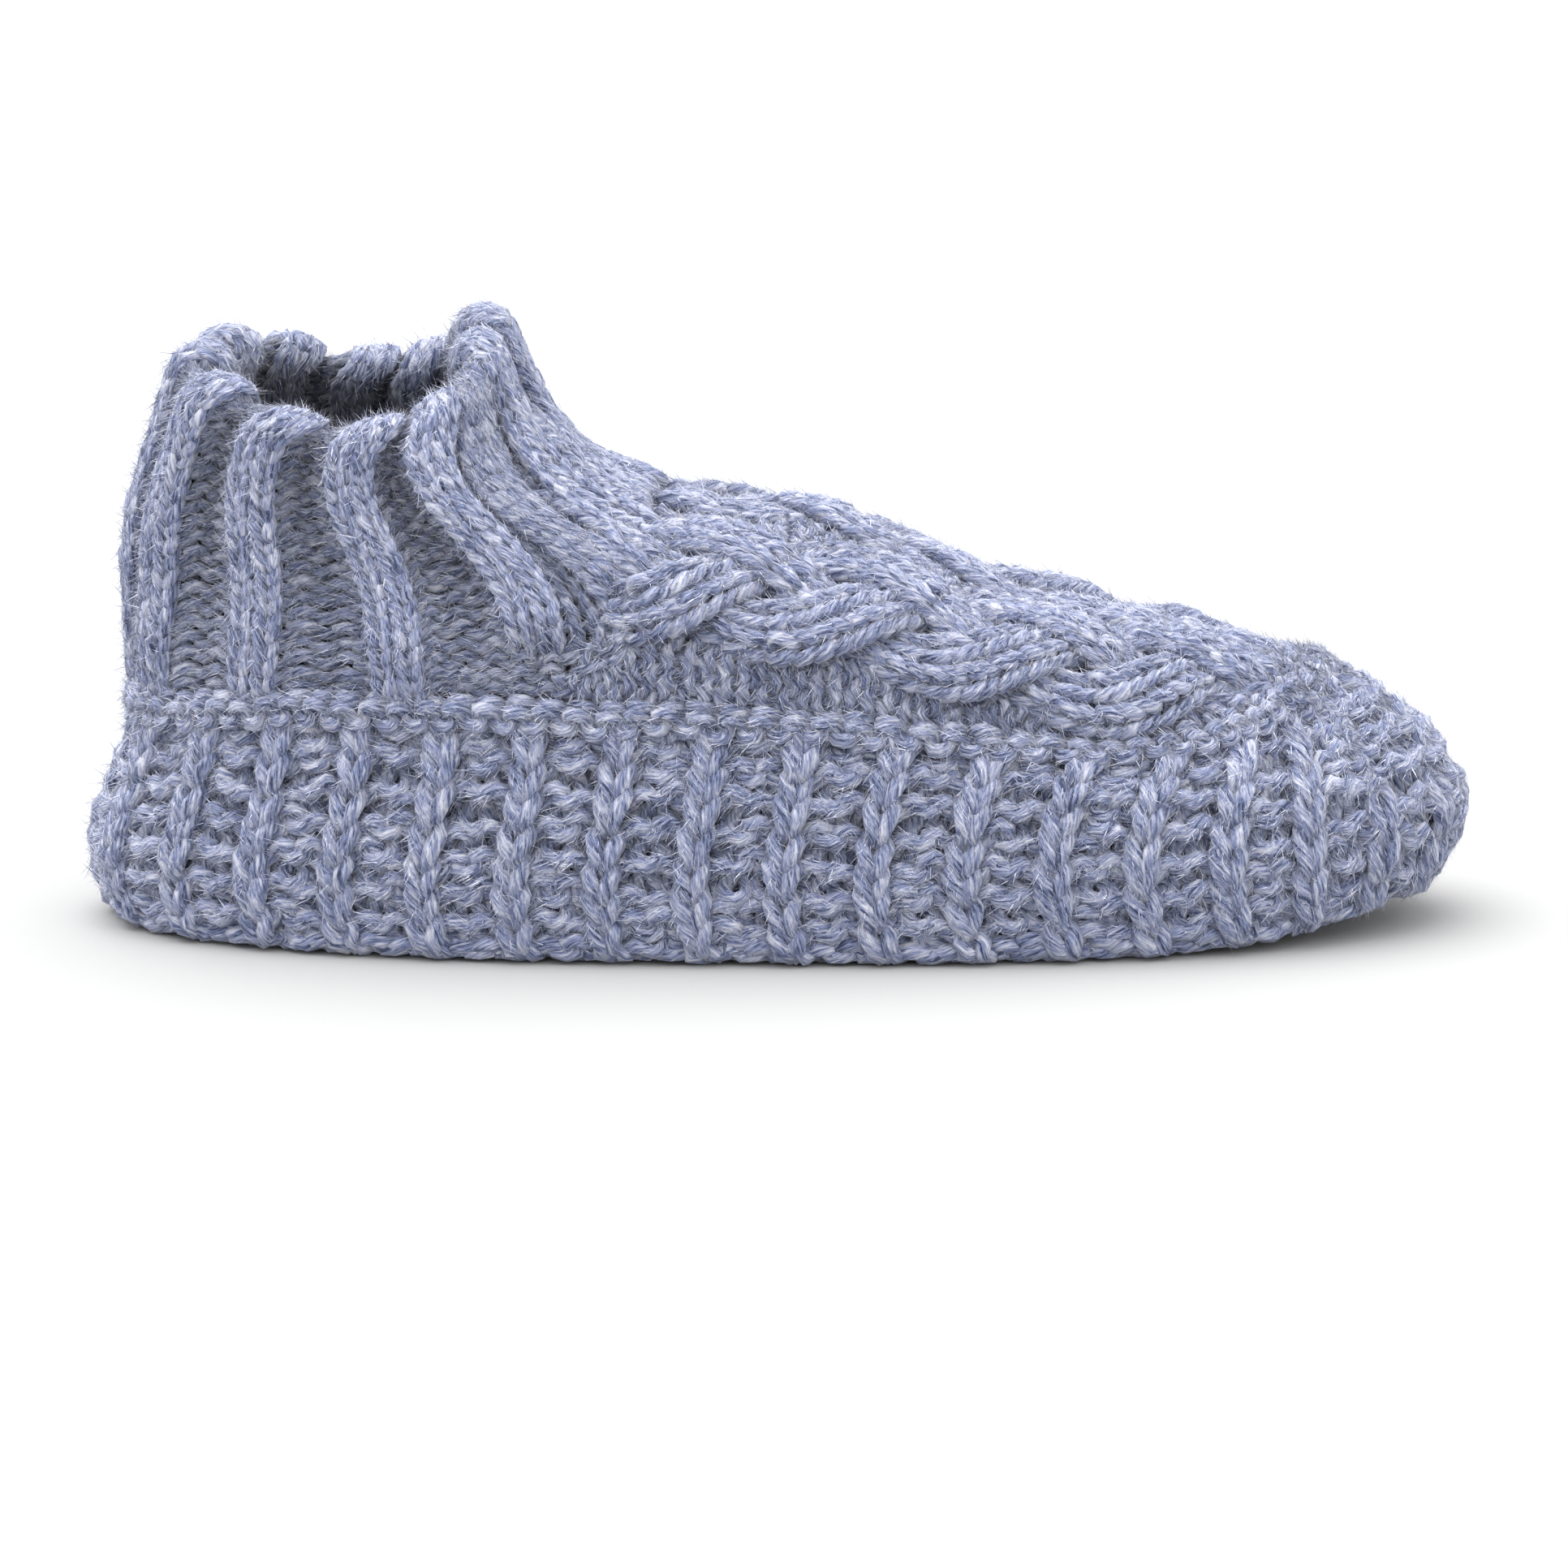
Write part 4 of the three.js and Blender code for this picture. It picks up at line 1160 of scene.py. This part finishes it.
def build_sole(sizes):
    """The sole panel with its knitted underside, and the footbed on it."""
    plain = material_for("lining", sizes)
    base = panel("sole_panel", inset=1.2, low=1.6, high=4.0, edge=0.6, material=plain)
    finished(base, "sole_knit", "sole")
    soft = material_for("footbed cloth", sizes)
    bed = panel("footbed", inset=0.9, low=4.3, high=7.3, edge=0.9, material=soft)
    finished(bed, "footbed", "insole")
    rng = np.random.default_rng(sizes.seed + 4)
    row_height, wale_width = SOLE_STITCH
    first, last, half_wales = SOLE_ROWS
    rows = np.arange(first - 2, last + 1, 0.5)
    wales = np.arange(-half_wales - 1, half_wales + 1.01, 0.5)
    x = rows[:, None] * row_height + np.zeros(len(wales))
    y = wales[None] * wale_width + np.zeros((len(rows), 1))
    grid = np.stack([x, y, 1.7 + floor_lift(x)], -1)
    normals = np.tile(np.array([0.0, 0.0, -1.0]), (len(rows), len(wales), 1))
    cloth = Cloth(rows, wales, grid, normals)
    look = {"steps": 8, "loop": 1.42, "purl_loop": 1.42, "lean": 0.15, "depth": 0.35, "uneven": 0.04,
            "out": lambda wale, row: np.zeros(wale.shape), "level": 0.0,
            "knit": lambda wale, row: np.ones(wale.shape)}
    yarn = Yarn()
    for row in range(first, last):
        points, dress, _ = stitches(cloth, float(row), -half_wales, half_wales, look, rng)
        points = clear_of_floor(points, sizes.upper_yarn)
        kept = np.abs(points[:, 1]) < sole_half_width(points[:, 0]) - SOLE_MARGIN
        yarn.lay_kept(points, dress, kept)
    knit = knit_piece("sole_knit", yarn, sizes.upper_yarn, material_for("band yarn", sizes))
    finished(knit, "sole_knit")


def fuzz_tree():
    """Node tree that grows short fibres on the faces of a piece's yarn that look out of the cloth."""
    inputs = {"Density": "Float", "Length": "Float", "Width": "Float", "Lift": "Float", "Stray": "Float",
              "Lowest": "Float", "Seed": "Int", "Material": "Material"}
    tree, given, ids = new_tree("fuzz", "Yarn", "Fibres", inputs)
    position = step(tree, "GeometryNodeInputPosition").outputs["Position"]
    height = step(tree, "ShaderNodeSeparateXYZ", {0: position}).outputs["Z"]
    normal = step(tree, "GeometryNodeInputNormal").outputs["Normal"]
    facing = carried(tree, "facing", "FLOAT_VECTOR")
    toward = step(tree, "ShaderNodeVectorMath", {0: normal, 1: facing}, operation="DOT_PRODUCT")

    def above(value, limit):
        test = step(tree, "FunctionNodeCompare", data_type="FLOAT", operation="GREATER_THAN")
        tree.links.new(value, test.inputs["A"])
        if isinstance(limit, float):
            test.inputs["B"].default_value = limit
        else:
            tree.links.new(limit, test.inputs["B"])
        return test.outputs["Result"]

    both = {0: above(height, given["Lowest"]), 1: above(toward.outputs["Value"], 0.1)}
    chosen = step(tree, "FunctionNodeBooleanMath", both, operation="AND").outputs["Boolean"]
    scatter = step(tree, "GeometryNodeDistributePointsOnFaces", {
        "Mesh": given["Yarn"], "Density": given["Density"], "Seed": given["Seed"], "Selection": chosen,
    })
    # One fibre: a triangle that points along X, with its wide end rooted in the yarn
    flat = step(tree, "GeometryNodeMeshCircle", {"Vertices": 3, "Radius": 2 / 3}, fill_type="NGON")
    reach = step(tree, "ShaderNodeCombineXYZ", {"X": given["Length"], "Y": given["Width"], "Z": 1.0})
    third = step(tree, "ShaderNodeMath", {0: given["Length"], 1: 0.3}, operation="MULTIPLY")
    rooted = step(tree, "ShaderNodeCombineXYZ", {"X": third.outputs[0]})
    blade = step(tree, "GeometryNodeTransform", {
        "Geometry": flat.outputs["Mesh"], "Scale": reach.outputs[0], "Translation": rooted.outputs[0],
    })
    stray = step(tree, "FunctionNodeRandomValue", data_type="FLOAT_VECTOR")
    stray.inputs["Min"].default_value = (-1.0, -1.0, -1.0)
    stray.inputs["Max"].default_value = (1.0, 1.0, 1.0)
    tree.links.new(given["Seed"], stray.inputs["Seed"])
    way = carried(tree, "yarn_way", "FLOAT_VECTOR")
    for push, strength in ((scatter.outputs["Normal"], given["Lift"]), (stray.outputs[0], given["Stray"])):
        terms = {0: push, 1: strength, 2: way}
        way = step(tree, "ShaderNodeVectorMath", terms, operation="MULTIPLY_ADD").outputs[0]
    turn = step(tree, "FunctionNodeAlignRotationToVector", {"Vector": way}, axis="X")
    size = step(tree, "FunctionNodeRandomValue", data_type="FLOAT")
    # Several of this node's sockets have the same name, so they are told by their identifiers
    sockets = {socket.identifier: socket for socket in (*size.inputs, *size.outputs)}
    sockets["Min_001"].default_value = 0.35
    sockets["Max_001"].default_value = 1.25
    plant = step(tree, "GeometryNodeInstanceOnPoints", {
        "Points": scatter.outputs["Points"], "Instance": blade.outputs["Geometry"],
        "Rotation": turn.outputs["Rotation"], "Scale": sockets["Value_001"],
    })
    end_tree(tree, plant.outputs["Instances"], given["Material"])
    return tree, ids


def build_fuzz(sizes):
    """Fibres of the yarn: most lie along it, and some stand off and soften its outline."""
    tree, ids = fuzz_tree()
    material = material_for("loose fibre", sizes)
    hosts = {
        "foot_band_knit": "band_knit",
        "linking_seam_chain": "seam_knit",
        "shaft_knit": "upper_knit",
        "collar_inside_knit": "upper_knit",
        "vamp_knit": "upper_knit",
        "near_plait": "upper_knit",
        "far_plait": "upper_knit",
        "top_rope": "upper_knit",
    }
    kinds = (("lying", 0.64, 0.16, 0.28, 1.0), ("standing", 0.36, 0.8, 0.75, 1.3))
    for source, slot in hosts.items():
        parts = []
        for kind, share, lift, stray, long in kinds:  # long: in lengths of a lying fibre
            host = bpy.data.objects.new(kind, bpy.data.objects[source].data.copy())
            bpy.context.scene.collection.objects.link(host)
            parts.append(realized(host, tree, {
                ids["Density"]: sizes.fuzz_density * share,
                ids["Length"]: sizes.fuzz_length * long,
                ids["Width"]: sizes.fuzz_width,
                ids["Lift"]: lift,
                ids["Stray"]: stray,
                ids["Lowest"]: 1.9 * sizes.fuzz_length * long,
                ids["Seed"]: sizes.seed + len(parts),
                ids["Material"]: material,
            }))
        finished(joined(source.replace("_knit", "") + "_fibres", parts), slot)


def joined(name, parts):
    """One object from several, with their meshes joined."""
    with bpy.context.temp_override(active_object=parts[0], selected_editable_objects=parts):
        bpy.ops.object.join()
    parts[0].name = name
    parts[0].data.name = name
    return parts[0]


def build_stage(stage):
    """White floor and surroundings, a broad light above, and the camera."""
    scene = bpy.context.scene
    scene.view_settings.view_transform = "Standard"
    world = bpy.data.worlds.new("white surroundings")
    world.use_nodes = True
    world.node_tree.nodes["Background"].inputs["Color"].default_value = (1, 1, 1, 1)
    world.node_tree.nodes["Background"].inputs["Strength"].default_value = stage.sky
    scene.world = world
    size = 6.0  # from the middle of the floor to its edges
    corners = [(-size, -size, 0), (size, -size, 0), (size, size, 0), (-size, size, 0)]
    mesh = bpy.data.meshes.new("floor")
    mesh.from_pydata(corners, [], [(0, 1, 2, 3)])
    pale = bpy.data.materials.new("pale floor")
    pale.use_nodes = True
    shader = pale.node_tree.nodes["Principled BSDF"]
    shader.inputs["Base Color"].default_value = (*[stage.floor_shade] * 3, 1)
    shader.inputs["Roughness"].default_value = 0.9
    shader.inputs["Specular IOR Level"].default_value = 0.1
    mesh.materials.append(pale)
    floor = bpy.data.objects.new("floor", mesh)
    scene.collection.objects.link(floor)
    add_light("key light", (-0.2, 0.12, 1.0), stage.key_spread, stage.key_power)
    camera = bpy.data.cameras.new("camera")
    camera.lens = stage.lens
    camera.sensor_width = 36.0
    camera.clip_start = 0.01
    camera.clip_end = 50.0
    away = stage.frame_width * stage.lens / camera.sensor_width
    seen = bpy.data.objects.new("camera", camera)
    direction = Vector((0, -math.cos(stage.elevation), math.sin(stage.elevation)))
    seen.location = Vector(stage.aim) + direction * away
    seen.rotation_mode = "QUATERNION"
    seen.rotation_quaternion = (-direction).to_track_quat("-Z", "Y")
    scene.collection.objects.link(seen)
    scene.camera = seen


def add_light(name, place, spread, power):
    """A broad, even light that shines from place toward the slipper."""
    light = bpy.data.lights.new(name, "SUN")
    light.energy = power
    light.angle = spread
    made = bpy.data.objects.new(name, light)
    made.location = place
    made.rotation_mode = "QUATERNION"
    made.rotation_quaternion = Vector(place).to_track_quat("Z", "Y")
    bpy.context.scene.collection.objects.link(made)


class SLIPPER_OT_band(bpy.types.Operator):
    """Knit the foot band and its lining"""

    bl_idname = "slipper.band"
    bl_label = "Foot band"

    def execute(self, context):
        build_band(context.scene.slipper_sizes)
        return {"FINISHED"}


class SLIPPER_OT_seam(bpy.types.Operator):
    """Chain the linking seam round the band's upper edge"""

    bl_idname = "slipper.seam"
    bl_label = "Linking seam"

    def execute(self, context):
        build_seam(context.scene.slipper_sizes)
        return {"FINISHED"}


class SLIPPER_OT_shaft(bpy.types.Operator):
    """Knit the ribbed shaft and its turned collar"""

    bl_idname = "slipper.shaft"
    bl_label = "Shaft and collar"

    def execute(self, context):
        build_shaft(context.scene.slipper_sizes)
        build_upper_lining(context.scene.slipper_sizes)
        return {"FINISHED"}


class SLIPPER_OT_vamp(bpy.types.Operator):
    """Knit the vamp and its plaits"""

    bl_idname = "slipper.vamp"
    bl_label = "Vamp and plaits"

    def execute(self, context):
        build_vamp(context.scene.slipper_sizes)
        return {"FINISHED"}


class SLIPPER_OT_sole(bpy.types.Operator):
    """Make the sole panel, its knitted underside and the footbed"""

    bl_idname = "slipper.sole"
    bl_label = "Sole and footbed"

    def execute(self, context):
        build_sole(context.scene.slipper_sizes)
        return {"FINISHED"}


class SLIPPER_OT_fuzz(bpy.types.Operator):
    """Grow loose fibres on the yarn"""

    bl_idname = "slipper.fuzz"
    bl_label = "Loose fibres"

    def execute(self, context):
        build_fuzz(context.scene.slipper_sizes)
        return {"FINISHED"}


class SLIPPER_OT_stage(bpy.types.Operator):
    """Set up the floor, the lights and the camera"""

    bl_idname = "slipper.stage"
    bl_label = "Stage"

    def execute(self, context):
        build_stage(context.scene.slipper_stage)
        return {"FINISHED"}


class SLIPPER_PT_panel(bpy.types.Panel):
    """Sizes and steps of the slipper"""

    bl_label = "Slipper"
    bl_space_type = "VIEW_3D"
    bl_region_type = "UI"
    bl_category = "Slipper"

    def draw(self, context):
        for group in (context.scene.slipper_sizes, context.scene.slipper_stage):
            for name in group.__annotations__:
                self.layout.prop(group, name)
        for made in STEPS:
            self.layout.operator(made.bl_idname)


STEPS = (
    SLIPPER_OT_band,
    SLIPPER_OT_seam,
    SLIPPER_OT_shaft,
    SLIPPER_OT_vamp,
    SLIPPER_OT_sole,
    SLIPPER_OT_fuzz,
    SLIPPER_OT_stage,
)
CLASSES = (SlipperSizes, StageSizes, *STEPS, SLIPPER_PT_panel)


def register():
    for made in CLASSES:
        bpy.utils.register_class(made)
    bpy.types.Scene.slipper_sizes = bpy.props.PointerProperty(type=SlipperSizes)
    bpy.types.Scene.slipper_stage = bpy.props.PointerProperty(type=StageSizes)


def unregister():
    del bpy.types.Scene.slipper_stage
    del bpy.types.Scene.slipper_sizes
    for made in reversed(CLASSES):
        bpy.utils.unregister_class(made)


def main():
    register()
    bpy.ops.slipper.band()
    bpy.ops.slipper.seam()
    bpy.ops.slipper.shaft()
    bpy.ops.slipper.vamp()
    bpy.ops.slipper.sole()
    bpy.ops.slipper.fuzz()
    bpy.ops.slipper.stage()


if __name__ == "__main__":
    main()
